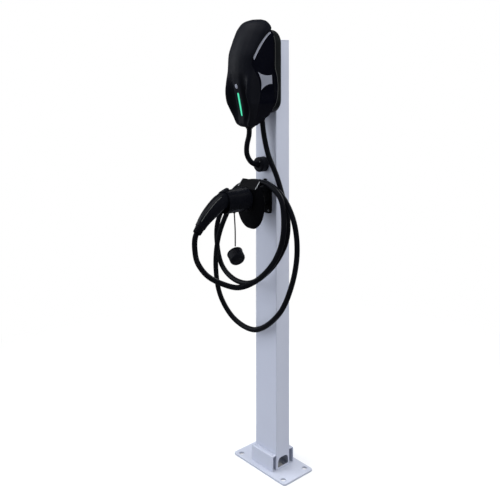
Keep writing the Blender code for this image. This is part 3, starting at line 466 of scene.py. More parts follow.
def complete(piece, body, nodes=(), edge=0.0004, segments=2, angle=35):
    """Soften edges, smooth the shading and put the piece on its CAD body."""
    if edge:
        bevel = piece.modifiers.new("edge", "BEVEL")
        bevel.width = edge
        bevel.segments = segments
        bevel.limit_method = "ANGLE"
        bevel.angle_limit = math.radians(angle)
        settle(piece)
        mend(piece)
    piece.data.shade_smooth()
    piece.data.set_sharp_from_angle(angle=math.radians(angle + 5))
    weighted = piece.modifiers.new("shading", "WEIGHTED_NORMAL")
    weighted.keep_sharp = True
    settle(piece)
    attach(piece, body)
    if nodes:
        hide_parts(*nodes)
    return piece


def smooth_path(knots, steps):
    """Centripetal Catmull-Rom curve through points of any dimension."""
    knots = [np.array(knot, float) for knot in knots]
    knots = [2 * knots[0] - knots[1], *knots, 2 * knots[-1] - knots[-2]]
    curve = []
    for i in range(1, len(knots) - 2):
        p0, p1, p2, p3 = knots[i - 1:i + 3]
        t1 = math.sqrt(np.linalg.norm(p1 - p0)) or 1e-4
        t2 = t1 + (math.sqrt(np.linalg.norm(p2 - p1)) or 1e-4)
        t3 = t2 + (math.sqrt(np.linalg.norm(p3 - p2)) or 1e-4)
        for k in range(steps):
            t = t1 + (t2 - t1) * k / steps
            a1 = p0 + (p1 - p0) * t / t1
            a2 = p1 + (p2 - p1) * (t - t1) / (t2 - t1)
            a3 = p2 + (p3 - p2) * (t - t2) / (t3 - t2)
            b1 = a1 + (a2 - a1) * t / t2
            b2 = a2 + (a3 - a2) * (t - t1) / (t3 - t1)
            curve.append(b1 + (b2 - b1) * (t - t1) / (t2 - t1))
    curve.append(knots[-2])
    return curve


def smooth_value(x, stations, values):
    """Monotone cubic interpolation through the stations."""
    stations, values = np.array(stations), np.array(values)
    step = np.diff(stations)
    slope = np.diff(values) / step
    tangent = np.concatenate([[slope[0]], np.zeros(len(slope) - 1), [slope[-1]]])
    for i in range(1, len(slope)):
        if slope[i - 1] * slope[i] > 0:
            tangent[i] = 2 * slope[i - 1] * slope[i] / (slope[i - 1] + slope[i])
    x = min(max(x, stations[0]), stations[-1])
    i = int(np.clip(np.searchsorted(stations, x) - 1, 0, len(step) - 1))
    t = (x - stations[i]) / step[i]
    start = (2 * t ** 3 - 3 * t ** 2 + 1) * values[i] + (t ** 3 - 2 * t ** 2 + t) * step[i] * tangent[i]
    end = (3 * t ** 2 - 2 * t ** 3) * values[i + 1] + (t ** 3 - t ** 2) * step[i] * tangent[i + 1]
    return float(start + end)


def sweep(name, points, radius, look, sides=CABLE_SIDES):
    """Sweep a circle along a line of points without twisting it."""
    points = [Vector(point) for point in points]
    side = (points[1] - points[0]).orthogonal().normalized()
    rings = []
    for i, point in enumerate(points):
        ahead = (points[min(i + 1, len(points) - 1)] - points[max(i - 1, 0)]).normalized()
        side = (side - ahead * side.dot(ahead)).normalized()
        other = ahead.cross(side)
        turns = [math.tau * k / sides for k in range(sides)]
        rings.append([point + (side * math.cos(t) + other * math.sin(t)) * radius for t in turns])
    return loft(name, rings, look)


# ---------------------------------------------------------------- pedestal


def base_plate():
    size = PLATE_HIGH - PLATE_LOW
    outline = rounded_rect(size.x, size.y, 0.009)
    plate = loft("base_plate_skin", [at_height(outline, 0), at_height(outline, PLATE_HIGH.z)], "powder_coat")
    for sx in (-1, 1):
        for sy in (-1, 1):
            drill(plate, (sx * BOLT_X, sy * BOLT_Y, -0.01), (0, 0, 1), BOLT_HOLE_RADIUS, 0.03, 40)
    opening = [(x + 0.029, y) for x, y in rounded_rect(0.030, 0.036, 0.008)]
    cut(plate, loft("opening", [at_height(opening, -0.01), at_height(opening, 0.02)], "powder_coat"))
    complete(plate, "post", ["base_plate"], edge=0.0009, segments=3)


def arch_tool():
    """Cable opening at the foot of the right-hand narrow face, with a rounded head."""
    half = ARCH_WIDTH / 2
    sill = PLATE_HIGH.z + ARCH_SILL
    outline = [(half, sill), (-half, sill)]
    top = PLATE_HIGH.z + ARCH_HEIGHT - ARCH_RADIUS
    for side in (-1, 1):
        for i in range(13):
            turn = math.radians(7.5 * i if side < 0 else 90 - 7.5 * i)
            reach = half - ARCH_RADIUS + ARCH_RADIUS * math.cos(turn)
            outline.append((side * reach, top + ARCH_RADIUS * math.sin(turn)))
    return prism_x("arch", outline, TUBE_WIDTH / 2 - 0.006, TUBE_WIDTH / 2 + 0.006, "powder_coat")


def post_tube():
    outer = rounded_rect(TUBE_WIDTH, TUBE_DEPTH, TUBE_CORNER)
    inner = rounded_rect(TUBE_WIDTH - 2 * TUBE_WALL, TUBE_DEPTH - 2 * TUBE_WALL, TUBE_CORNER - TUBE_WALL)
    low, high = POST_LOW.z, POST_HIGH.z
    rings = [at_height(inner, low), at_height(inner, high), at_height(outer, high), at_height(outer, low)]
    tube = loft("post_tube_skin", rings, "powder_coat", closed=True)
    cut(tube, arch_tool())
    for x, z in HOLDER_SCREWS:
        drill(tube, (x, -FACE - 0.002, z), (0, 1, 0), 0.0027, 0.006, 16)
    drill(tube, (BOSS_CENTRE.x, -FACE - 0.002, BOSS_CENTRE.z), (0, 1, 0), 0.012, 0.006)
    complete(tube, "post", ["post_tube"], edge=0.0003, angle=50)


def post_cap():
    plate = rounded_rect(TUBE_WIDTH, TUBE_DEPTH, TUBE_CORNER)
    slack = 2 * (TUBE_WALL + GAP)
    plug = rounded_rect(TUBE_WIDTH - slack, TUBE_DEPTH - slack, 0.0008)
    hollow = rounded_rect(TUBE_WIDTH - slack - 0.004, TUBE_DEPTH - slack - 0.004, 0.0005)
    top, under, low = CAP_HIGH.z, CAP_HIGH.z - 0.003, CAP_LOW.z
    rings = [at_height(hollow, under), at_height(hollow, low), at_height(plug, low),
             at_height(plug, under), at_height(plate, under), at_height(plate, top)]
    cap = loft("post_cap_skin", rings, "powder_coat")
    complete(cap, "post", ["post_cap"], edge=0.0006, segments=3, angle=50)


def foot_angle(node, side):
    """Bent angle between the plate and one wide face; side is -1 in front and 1 behind."""
    low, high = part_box(node)
    near = FACE + GAP
    far = max(abs(low.y), abs(high.y))
    thick, bend = 0.003, 0.0035

    def corner(radius, turns):
        return [(far - bend + radius * math.sin(math.radians(a)),
                 high.z - bend + radius * math.cos(math.radians(a))) for a in turns]

    arc = corner(bend, range(0, 91, 15))
    inside = corner(bend - thick, range(90, -1, -15))
    outline = [(near, high.z), *arc, (far, low.z), (far - thick, low.z), *inside, (near, high.z - thick)]
    outline = [(-side * reach, z) for reach, z in outline]
    angle = prism_x(f"{node}_skin", outline, low.x, high.x, "powder_coat")
    for x in (-0.040, 0.040):
        drill(angle, (x, side * (near + far) / 2, high.z - 0.01), (0, 0, 1), 0.002, 0.02, 20)
    complete(angle, "post", [node], edge=0.0004)


# ---------------------------------------------------------------- charger's front


def form(values, z):
    return smooth_value(z, FORM_Z, values)


def half_section(z, inset, steps=10):
    """Right half of a level slice through the charger's front, back to nose, as (X, depth)."""
    cheek, nose = form(FORM_CHEEK, z), form(FORM_NOSE, z)
    valley, half = form(FORM_VALLEY, z), form(FORM_HALF, z)
    turn_in = max(cheek - 0.020, MASK_BACK + 0.002)
    shoulder = max(cheek - 0.008, turn_in + 0.001)
    side = half - SIDE_SLOPE * (turn_in - MASK_BACK)
    drop = nose - cheek
    knots = [(half, MASK_BACK), (side, turn_in), (side - 0.0032, shoulder), (side - 0.0095, cheek),
             (side * 0.60, nose - 0.45 * drop - 0.85 * valley),
             (side * 0.47, nose - 0.28 * drop - valley),
             (side * 0.33, nose - 0.13 * drop - 0.35 * valley),
             (side * 0.25, nose - 0.07 * drop - 0.03 * valley), (0, nose)]
    mirrored = knots + [(-x, depth) for x, depth in reversed(knots[:-1])]
    curve = smooth_path(mirrored[:len(knots) + 2], steps)[:(len(knots) - 1) * steps + 1]
    shrink = 1 - inset / half
    return [(x * shrink, depth - inset * min(1, 3 * max(depth - MASK_BACK, 0) / nose)) for x, depth in curve]


def flare(depth, z):
    """How far the side housing swells out behind the mask's edge, to meet the rear housing."""
    start = min(edge_depth(z) - 0.005, 0.118)
    if depth >= start or z > FLARE_TOP:
        return 0.0
    share = (start - depth) / (start - MASK_BACK)
    fade = min(1.0, (FLARE_TOP - z) / 0.012, max(0.0, (z - 1.150) / 0.03))
    return FLARE_SWELL * fade * min(share, 1.0) ** 1.35


def stretched_height(z, inset):
    """Height at which the outer form is read for a surface lying inset beneath it."""
    return FORM_MIDDLE + (z - FORM_MIDDLE) * FORM_REACH / (FORM_REACH - inset)


def side_x(depth, z, inset):
    """Half width of the charger's side at a depth and height."""
    section = half_section(stretched_height(z, inset), inset)[:31]
    return float(np.interp(depth, [d for _, d in section], [x for x, _ in section])) + flare(depth, z)


def foot_inset(z):
    """How far the rounded foot draws the form in at a height."""
    rise = z - FORM_Z[0]
    if rise >= MASK_FOOT_ROUND:
        return 0.0
    return MASK_FOOT_ROUND - math.sqrt(MASK_FOOT_ROUND ** 2 - (MASK_FOOT_ROUND - rise) ** 2)


def levels(count=96):
    """Heights of the slices, closer together at the rounded foot and at the top."""
    foot = [FORM_Z[0] + MASK_FOOT_ROUND * (1 - math.cos(math.radians(a)))
            for a in (0, 22, 40, 56, 70, 82, 90)]
    body = np.linspace(foot[-1], CROWN_START, count)[1:]
    top = [CROWN_START + 0.016 * math.sin(math.radians(a)) for a in (12, 24, 36, 48, 60, 72, 82, 90)]
    return [*foot, *body, *top]


def closed_form(name, inset, back, look):
    """Closed solid of the charger's front, inset under the outer surface and flat at the back."""
    rings = []
    for z in levels(60):
        height = FORM_MIDDLE + (z - FORM_MIDDLE) * (FORM_REACH - inset) / FORM_REACH
        section = half_section(z, inset + foot_inset(z))
        turn_in = max(section[10][1], back + 0.002)
        flank = [(float(np.interp(depth, [d for _, d in section[:11]], [x for x, _ in section[:11]])), depth)
                 for depth in np.linspace(back, turn_in, 15)]
        right = flank + section[12:30:3] + section[30::5]
        right = [(x + flare(depth, height), max(depth, back + 0.0001 * i))
                 for i, (x, depth) in enumerate(right)]
        left = [(-x, depth) for x, depth in reversed(right[:-1])]
        rings.append([Vector((x, -depth, height)) for x, depth in right + left])
    return loft(name, rings, look)


def chin_tool(lift):
    """Block below the sloping lower rear face, raised by lift to leave a wall under a cavity."""
    (low_depth, low), (high_depth, high) = CHIN
    outline = [(low_depth, low + lift), (high_depth, high + lift), (high_depth, low - 0.02),
               (low_depth, low - 0.02)]
    return prism_x("chin", outline, -0.12, 0.12, "gloss_black")


def light_frame():
    """Middle, direction, outward normal and length of the light bar, in the plane X = 0."""
    low = Vector((0, -LIGHT_LOW[0], LIGHT_LOW[1]))
    high = Vector((0, -LIGHT_HIGH[0], LIGHT_HIGH[1]))
    along = (high - low).normalized()
    return (low + high) / 2, along, Vector((1, 0, 0)).cross(along), (high - low).length


def light_block(name, width, length, offsets, look):
    """Round-ended block that follows the light bar; offsets are (height over the surface, shrink)."""
    centre, along, normal, _ = light_frame()
    rings = []
    for offset, shrink in offsets:
        outline = rounded_rect(width - 2 * shrink, length - 2 * shrink, (width - 2 * shrink) * 0.49, steps=6)
        base = centre + normal * offset
        rings.append([base + Vector((x, 0, 0)) + along * y for x, y in outline])
    return loft(name, rings, look)


def cut_front_openings(piece):
    length = light_frame()[3]
    reach = [(-0.014, 0), (0.006, 0)]
    cut(piece, light_block("slot", LIGHT_WIDTH + 0.0008, length + 0.0008, reach, "gloss_black"))
    x, depth = SUPPLY_EXIT
    drill(piece, (x, -depth, 1.10), (0, 0, 1), 0.0128, 0.05, 40)


def edge_depth(z):
    """Depth of the mask's rear edge at a height."""
    return smooth_value(z, [h for _, h in MASK_EDGE], [d for d, _ in MASK_EDGE])


def mask_row(z, inset, samples):
    """One slice of the mask between its two rear edges, left to right."""
    section = half_section(z, inset)
    start = max(edge_depth(z), section[0][1])
    rear = [d for _, d in section[:31]]
    first = next(i for i, depth in enumerate(rear + [9.0]) if depth > start + 1e-6)
    corner = (float(np.interp(start, rear, [x for x, _ in section[:31]])), start)
    run = np.array([corner, *section[first:]])
    reach = np.concatenate([[0], np.cumsum(np.linalg.norm(np.diff(run, axis=0), axis=1))])
    marks = np.linspace(0, reach[-1], samples + 1)
    right = list(zip(np.interp(marks, reach, run[:, 0]), np.interp(marks, reach, run[:, 1])))
    return [(-x, d) for x, d in right] + [(x, d) for x, d in reversed(right[:-1])]


def mask_sheet(inset, samples):
    """Points and outward-facing quads of one surface of the mask, closed at foot and top."""
    heights = levels()
    points, faces = [], []
    width = 2 * samples + 1
    for z in heights:
        height = FORM_MIDDLE + (z - FORM_MIDDLE) * (FORM_REACH - inset) / FORM_REACH
        points += [(x, -d, height) for x, d in mask_row(z, inset + foot_inset(z), samples)]
    for i in range(len(heights) - 1):
        for j in range(width - 1):
            a, b = i * width + j, (i + 1) * width + j
            faces.append((a, a + 1, b + 1, b))
    for base in (0, (len(heights) - 1) * width):
        for j in range(samples):
            a, b = base + j, base + width - 1 - j
            faces.append((a, a + 1, b - 1, b) if j < samples - 1 else (a, a + 1, b))
    return points, faces, width, len(heights)


def front_cover():
    """Mask shell: an outer and an inner surface joined along the rim."""
    samples = 44
    points, faces, width, rows = mask_sheet(0, samples)
    inner, inner_faces, _, _ = mask_sheet(MASK_WALL, samples)
    shift = len(points)
    points += inner
    faces += [tuple(index + shift for index in face) for face in inner_faces]
    rim = [i * width for i in range(rows)] + [i * width + width - 1 for i in range(rows - 1, -1, -1)]
    for a, b in zip(rim, rim[1:] + rim[:1]):
        faces.append((a, b, b + shift, a + shift))
    cover = make("front_cover_skin", points, faces, "satin_black")
    cut_front_openings(cover)
    complete(cover, "post", ["front_cover"], edge=0.0007, segments=3, angle=50)


def side_housing():
    housing = closed_form("side_housing_skin", SIDE_INSET, MASK_BACK, "gloss_black")
    cavity = closed_form("cavity", SIDE_INSET + SIDE_WALL, MASK_BACK + SIDE_WALL, "gloss_black")
    cut(cavity, chin_tool(0.005))
    cut(housing, cavity)
    cut(housing, chin_tool(0))
    centre = (SHELL_LOW.z + SHELL_HIGH.z) / 2
    outline = rounded_rect(SHELL_HIGH.x - SHELL_LOW.x - 2 * OPENING_MARGIN - 0.002,
                           SHELL_HIGH.z - SHELL_LOW.z - 2 * OPENING_MARGIN - 0.002, 0.019)
    rings = [at_depth(outline, MASK_BACK - 0.005, centre), at_depth(outline, MASK_BACK + 0.006, centre)]
    cut(housing, loft("opening", rings, "gloss_black"))
    cut_front_openings(housing)
    complete(housing, "post", ["side_housing"], edge=0.0006, angle=50)


def light_bar():
    length = light_frame()[3]
    lens = light_block("light_bar_lens", LIGHT_WIDTH, length,
                       [(-0.0088, 0), (-0.0002, 0), (0.0003, 0.0004), (0.0004, 0.0012)], "light_lens")
    complete(lens, "post", ["light_bar"], edge=0)


def badge():
    """Small plain oval plate above the light bar, slightly domed."""
    _, along, normal, _ = light_frame()
    centre = Vector((0, -BADGE_AT[0], BADGE_AT[1]))
    rings = []
    for offset, scale in ((0.0008, 0.98), (0.0014, 1.0), (0.0018, 0.94), (0.0021, 0.75), (0.0022, 0.4)):
        ring = []
        for i in range(48):
            turn = math.tau * i / 48
            spoke = Vector((BADGE_RADII[0] * math.cos(turn), 0, 0)) + along * BADGE_RADII[1] * math.sin(turn)
            ring.append(centre + normal * offset + spoke * scale)
        rings.append(ring)
    complete(loft("badge_plate", rings, "silver_trim"), "post", ["badge"], edge=0)


def trim_plate(name, side, rows, node):
    """Thin plate on the side housing, given as matched rows of (depth, height) points."""
    rings = []
    for row in rows:
        ring = []
        for lift, points in ((TRIM_LIFT, row), (TRIM_LIFT + TRIM_THICK, row[::-1])):
            for depth, z in points:
                x = side_x(depth, z, SIDE_INSET) + lift
                ring.append(Vector((side * x, -depth, z)))
        rings.append(ring)
    complete(loft(name, rings, "silver_trim"), "post", [node], edge=0.0003, angle=45)


def upper_trim(node, side):
    """Slim crescent strip that follows the mask's upper rear edge."""
    rows = []
    steps = 28
    for i in range(steps + 1):
        t = i / steps
        depth = STRIP_START[0] + (STRIP_END[0] - STRIP_START[0]) * t
        z = STRIP_START[1] + (STRIP_END[1] - STRIP_START[1]) * t + 4 * STRIP_BULGE * t * (1 - t)
        half = STRIP_WIDTH / 2
        low = half * (2 * (0.45 + 0.75 * t - 0.35 * t * t) - 1)
        rows.append([(depth - low * 0.45, z - low), (depth + half * 0.45, z + half)])
    trim_plate(f"{node}_skin", side, rows, node)


def lower_trim(node, side):
    """Four-cornered star plate whose top, bottom and front curve inwards."""
    upper_front, upper_back, lower_back, lower_front = STAR_CORNERS

    def hollow_edge(start, end, t, inward):
        bow = 4 * STAR_HOLLOW * t * (1 - t)
        return start[0] + (end[0] - start[0]) * t, start[1] + (end[1] - start[1]) * t + inward * bow

    rows = []
    for i in range(21):
        t = i / 20
        top = hollow_edge(upper_front, upper_back, t, -1)
        bottom = hollow_edge(lower_front, lower_back, t, 1)
        row = []
        for k in range(13):
            rise = k / 12
            bow = 4 * STAR_HOLLOW * rise * (1 - rise) * (1 - t) ** 2
            row.append((bottom[0] + (top[0] - bottom[0]) * rise - bow,
                        bottom[1] + (top[1] - bottom[1]) * rise))
        rows.append(row)
    trim_plate(f"{node}_skin", side, rows, node)


# ---------------------------------------------------------------- charger's back


def leaf(z):
    """How far the long facet on the rear housing's flank reaches back at a height, 0 to 1."""
    low, high = LEAF_Z
    if not low < z < high:
        return 0.0
    t = (z - low) / (high - low)
    return math.sin(math.pi * t ** 1.15) ** 0.8


def rear_housing():
    """Back shell with a rounded rear edge and a facet along each flank that widens to a leaf; the facets are
    coloured light grey as a painted highlight.
    """
    width, height = SHELL_HIGH.x - SHELL_LOW.x, SHELL_HIGH.z - SHELL_LOW.z
    centre = (SHELL_LOW.z + SHELL_HIGH.z) / 2
    back, front = -SHELL_HIGH.y, -SHELL_LOW.y
    steps = 14

    def outline(inset, corner):
        """Rounded rectangle with extra points down its flanks, anticlockwise from the lower right."""
        loop = rounded_rect(width - 2 * inset, height - 2 * inset, corner, steps)
        flank = np.linspace(0, 1, 34)[1:-1]
        made = []
        for i, point in enumerate(loop):
            made.append(point)
            if (i + 1) % (steps + 1) == 0 and (i + 1) // (steps + 1) in (1, 3):
                after = loop[(i + 1) % len(loop)]
                made += [(point[0], point[1] + (after[1] - point[1]) * t) for t in flank]
        return made

    def ring(inset, corner, depth):
        return at_depth(outline(inset, corner), depth, centre)

    def facet(share):
        """Ring between the front rim (share 0) and the rear end of the facet (share 1)."""
        points = []
        rim = outline(RIM_STEP, SHELL_CORNER - 0.004)
        for (x, z), (rim_x, rim_z) in zip(outline(0, SHELL_CORNER), rim):
            reach = FACET_REACH + LEAF_REACH * leaf(centre + z)
            points.append(Vector((rim_x + (x - rim_x) * share, -(front - reach * share),
                                  centre + rim_z + (z - rim_z) * share)))
        return points

    def flank(share):
        """Ring between the rear end of the facet and the start of the rounded rear edge."""
        points = []
        for x, z in outline(0, SHELL_CORNER):
            start = front - 0.0032 - LEAF_REACH * leaf(centre + z)
            points.append(Vector((x, -(start + (back + SHELL_ROUND - start) * share), centre + z)))
        return points

    inner = SHELL_CORNER - SHELL_WALL
    rings = [ring(SHELL_WALL, inner, back + SHELL_WALL), ring(SHELL_WALL, inner, front - SHELL_WALL),
             ring(OPENING_MARGIN, 0.020, front - SHELL_WALL), ring(OPENING_MARGIN, 0.020, front),
             facet(0), facet(1), flank(0), flank(0.5), flank(1)]
    for turn in (30, 60, 90):
        pull = SHELL_ROUND * (1 - math.cos(math.radians(turn)))
        depth = back + SHELL_ROUND * (1 - math.sin(math.radians(turn)))
        rings.append(ring(pull, SHELL_CORNER - pull, depth))
    shell = loft("rear_housing_skin", rings, "housing_black")
    count = len(rings[0])
    # The rim step takes gloss black; the facets take light grey, a painted highlight where the front edge
    # catches the light.
    for look, first in (("gloss_black", 3), ("painted_highlight_grey", 5)):
        shell.data.materials.append(looks[look])
        slot = len(shell.data.materials) - 1
        for face in shell.data.polygons:
            rows = {index // count for index in face.vertices}
            if rows == {first, first + 1} or (look == "gloss_black" and rows == {first + 1, first + 2}):
                face.material_index = slot
    x, depth = OUTPUT_EXIT
    drill(shell, (x, -depth, SHELL_LOW.z - 0.01), (0, 0, 1), 0.0108, 0.02)
    for z in BRACKET_SCREW_Z:
        drill(shell, (0, -back + 0.002, z), (0, -1, 0), SCREW_HOLE_RADIUS, 0.008, 16)
    complete(shell, "post", ["rear_housing"], edge=0.0005, angle=25)


def gland(node, x, depth, top, bore, profile, ribs, slot="black_rubber"):
    """Hollow cable gland hanging below top, with gripping ribs round its nut."""
    loop = [(profile[0][0], bore), *profile, (profile[-1][0], bore)]
    start, end = ribs

    def wave(distance, turn):
        return 0.0004 * math.cos(12 * turn) if start < distance < end else 0.0

    piece = turned(f"{node}_skin", (x, -depth, top), (0, 0, -1), loop, slot, sides=96, closed=True, wave=wave)
    complete(piece, "post", [node], edge=0.0004)


def charger_glands():
    bore = CABLE_RADIUS + 2 * GAP
    gland("supply_gland", *SUPPLY_EXIT, 1.140, bore,
          [(0, 0.012), (0.020, 0.012), (0.0205, 0.0118), (0.026, 0.0118), (0.028, 0.0105)], (0.0202, 0.0262))
    gland("output_gland", *OUTPUT_EXIT, SHELL_LOW.z + 0.008, bore,
          [(0, 0.0105), (0.0083, 0.0105), (0.0083, 0.0135), (0.0105, 0.0140), (0.020, 0.0140),
           (0.0205, 0.0128), (0.026, 0.0115)], (0.0100, 0.0202))


# ---------------------------------------------------------------- cables and cable holder


def cables():
    """The coil stays with the post; the tail runs on from the coil to the gun at its far end."""
    line = smooth_path(COIL_PATH + [TAIL_PATH[1]], 9)[:-9]
    coil = sweep("charging_cable_coil", line, CABLE_RADIUS, "black_rubber")
    complete(coil, "post", ["charging_cable"], edge=0)
    line = smooth_path([COIL_PATH[-2], *TAIL_PATH], 9)[9:]
    tail = sweep("charging_cable_tail", line, CABLE_RADIUS, "black_rubber")
    tail.data.shade_smooth()
    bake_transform(tail)
    supply = sweep("supply_cable_skin", smooth_path(SUPPLY_PATH, 9), CABLE_RADIUS, "black_rubber")
    complete(supply, "post", ["supply_cable"], edge=0)


def cable_boss():
    """Domed entry on the post's front face, where the supply cable goes inside."""
    depth = BOSS_HIGH.y - BOSS_LOW.y
    profile = [(0, BOSS_RADIUS - 0.001), (0.001, BOSS_RADIUS), (0.006, BOSS_RADIUS),
               (0.0065, BOSS_RADIUS - 0.0007), (0.0072, BOSS_RADIUS - 0.0007), (0.0077, BOSS_RADIUS)]
    for i in range(9):
        turn = math.radians(11.25 * i)
        profile.append((depth - BOSS_ROUND * (1 - math.sin(turn)),
                        BOSS_RADIUS - BOSS_ROUND * (1 - math.cos(turn))))
    base = (BOSS_CENTRE.x, BOSS_HIGH.y, BOSS_CENTRE.z)
    boss = turned("cable_boss_skin", base, (0, -1, 0), profile, "satin_black", sides=64)
    drill(boss, (BOSS_CENTRE.x, BOSS_LOW.y - 0.002, BOSS_CENTRE.z), (0, 1, 0), 0.0105, 0.018)
    complete(boss, "post", ["cable_boss"], edge=0.0003, angle=50)


def screw_head(node, head_at, axis, radius, height, shank_radius, shank):
    """Pan-head screw with a hexagon socket; the head's underside is at head_at."""
    profile = [(-shank, shank_radius * 0.8), (-shank * 0.9, shank_radius), (0, shank_radius),
               (0, radius * 0.97), (height * 0.12, radius), (height * 0.5, radius * 0.98),
               (height * 0.85, radius * 0.82), (height, radius * 0.62)]
    head = turned(f"{node}_skin", head_at, axis, profile, "zinc_steel", sides=32)
    base = Vector(head_at) + Vector(axis) * height * 0.45
    drill(head, base, axis, radius * 0.42, height, sides=6)
    complete(head, "post", [node], edge=0)


def holder_body():
    """Back plate with the hollow neck that the coiled cable hangs on."""
    width, low, high, front = HOLDER_PLATE
    centre = (low + high) / 2
    plate = rounded_rect(width, high - low, 0.008, steps=15)
    step = 360 / len(plate)

    def circle(radius, depth):
        turns = [math.radians(-90 + step * (i + 0.5)) for i in range(len(plate))]
        return [Vector((radius * math.cos(t), -depth, SOCKET_Z + radius * math.sin(t))) for t in turns]

    back = FACE + GAP
    neck_end = SHIELD_DEPTH[0] - GAP
    rings = [circle(NECK_BORE, back + 0.004), circle(NECK_BORE, neck_end), circle(NECK_RADIUS, neck_end),
             circle(NECK_RADIUS, front + 0.006), circle(NECK_RADIUS + 0.0006, front + 0.003),
             circle(NECK_RADIUS + 0.0026, front), at_depth(plate, front, centre),
             at_depth(plate, back, centre)]
    body = loft("holder_body_skin", rings, "textured_black")
    tab = rounded_rect(0.014, 0.040, 0.0065)
    rings = [at_depth(tab, back + 0.0003, TAB_MIDDLE), at_depth(tab, back + TAB_THICK, TAB_MIDDLE)]
    cut(body, loft("tab", rings, "textured_black"), "UNION")
    for i, (x, z) in enumerate(HOLDER_SCREWS):
        head_at = back + TAB_THICK if i == 0 else front
        drill(body, (x, -head_at - 0.002, z), (0, 1, 0), SCREW_HOLE_RADIUS, 0.014, 20)
        screw_head(f"holder_screw_{i + 1}", (x, -head_at - GAP, z), (0, -1, 0), 0.004, 0.0022, 0.0022,
                   head_at - FACE + 0.004)
    complete(body, "post", ["holder_body"], edge=0.0005, angle=40)


def shield_outline():
    """Front outline of the shield from the foot up the right side: rounded foot, cornered hood."""
    right = [tuple(point) for point in smooth_path(SHIELD_HALF, 6)]
    for start, end in zip(HOOD_CORNERS, HOOD_CORNERS[1:]):
        right += [(start[0] + (end[0] - start[0]) * t, start[1] + (end[1] - start[1]) * t) for t in (0, 0.5)]
    right += [(0.030 * (1 - t), 0.0625) for t in (0, 0.2, 0.4, 0.6, 0.8)]
    return right + [(0.0, 0.0625)] + [(-x, z) for x, z in reversed(right[1:])]


def holder_shield():
    """Flared front with a sloping hood, which stops the coil sliding off the neck."""
    outline = shield_outline()
    back, front = SHIELD_DEPTH

    def collar(radius, depth):
        ring = []
        for x, z in outline:
            spoke = Vector((x, 0, z)).normalized()
            ring.append(Vector((spoke.x * radius, -depth, SOCKET_Z + spoke.z * radius)))
        return ring

    def between(scale, share, radius, depth):
        rim = collar(radius, depth)
        made = []
        for (x, z), target in zip(outline, rim):
            start = Vector((x * scale, -depth, SOCKET_Z + z * scale))
            made.append(start.lerp(target, share))
        return made

    rings = [collar(0.029, back), between(0.965, 0, 0.04, back), between(0.99, 0, 0.04, back + 0.001),
             between(1.0, 0, 0.04, back + 0.0028), between(1.0, 0, 0.04, back + 0.0045),
             between(0.985, 0, 0.04, back + 0.0065)]
    for share, rise in ((0.18, 0.28), (0.38, 0.50), (0.58, 0.68), (0.76, 0.82), (0.9, 0.93)):
        depth = back + 0.0065 + (front - back - 0.0065) * rise
        rings.append(between(0.985, share, 0.043, depth))
    rings += [collar(0.0425, front - 0.0006), collar(0.0418, front), collar(0.029, front)]
    shield = loft("holder_shield_skin", rings, "textured_black", closed=True)
    (rear, high), (lip, low) = HOOD_SLOPE
    block = [(rear, SOCKET_Z + HOOD_BLOCK_TOP), (rear, SOCKET_Z + HOOD_FOOT), (lip, SOCKET_Z + HOOD_FOOT),
             (lip, SOCKET_Z + HOOD_BLOCK_TOP)]
    cut(shield, prism_x("hood", block, -HOOD_HALF, HOOD_HALF, "textured_black"), "UNION")
    fall = (low - high) / (lip - rear)
    behind, ahead = rear - HOOD_OVERHANG, lip + HOOD_OVERHANG
    above = [(behind, SOCKET_Z + high - HOOD_OVERHANG * fall), (ahead, SOCKET_Z + low + HOOD_OVERHANG * fall),
             (ahead, SOCKET_Z + 0.09), (behind, SOCKET_Z + 0.09)]
    cut(shield, prism_x("above_hood", above, -0.08, 0.08, "textured_black"))
    drill(shield, (0, -back + 0.004, SOCKET_Z), (0, -1, 0), SOCKET_CUT_RADIUS, 0.05, 96)
    # Thin pale rods along the hood's two side edges: a painted highlight where the edges catch the light.
    for side in (-1, 1):
        ends = [Vector((side * HOOD_HALF, -rear - 0.001, SOCKET_Z + high + 0.001 * fall)),
                Vector((side * HOOD_HALF, -lip + 0.001, SOCKET_Z + low - 0.001 * fall))]
        label = "left" if side < 0 else "right"
        glint_rod = sweep(f"hood_glint_{label}", ends, GLINT_RADIUS, "painted_highlight_bright", sides=12)
        complete(glint_rod, "post", edge=0)
    complete(shield, "post", ["holder_shield"], edge=0.0008, segments=3, angle=28)


# ---------------------------------------------------------------- charging gun


def gun_ring(depth, z, half_width, half_height, pitch, sides=72):
    """Slice of the gun: an oval with a gently flattened spine, tipped towards the handle's fall."""
    tip = math.radians(pitch)
    up = Vector((0, -math.sin(tip), math.cos(tip)))
    ring = []
    for i in range(sides):
        turn = math.tau * i / sides
        c, s = math.cos(turn), math.sin(turn)
        power = 2.25
        reach = (abs(c) ** power + abs(s) ** power) ** (-1 / power)
        lower = 0.012 * max(0.0, s) ** 6
        offset = Vector((half_width * c * reach, 0, 0)) + up * half_height * (s * reach - lower)
        ring.append(Vector((0, -depth, z)) + offset)
    return ring


def button_frame():
    tip = math.radians(BUTTON_PITCH)
    out = Vector((0, -math.sin(tip), math.cos(tip)))
    along = Vector((0, -math.cos(tip), -math.sin(tip)))
    return Vector((0, -BUTTON_AT[0], BUTTON_AT[1])), out, along


def button_block(name, slack, rows, look):
    """Block at the release button; rows are (height along its travel, shrink)."""
    centre, out, along = button_frame()
    rings = []
    for lift, shrink in rows:
        width = BUTTON_SIZE[0] + 2 * (slack - shrink)
        length = BUTTON_SIZE[1] + 2 * (slack - shrink)
        outline = rounded_rect(width, length, max(0.005 + slack - shrink, 0.001))
        rings.append([centre + out * lift + Vector((x, 0, 0)) + along * y for x, y in outline])
    return loft(name, rings, look)


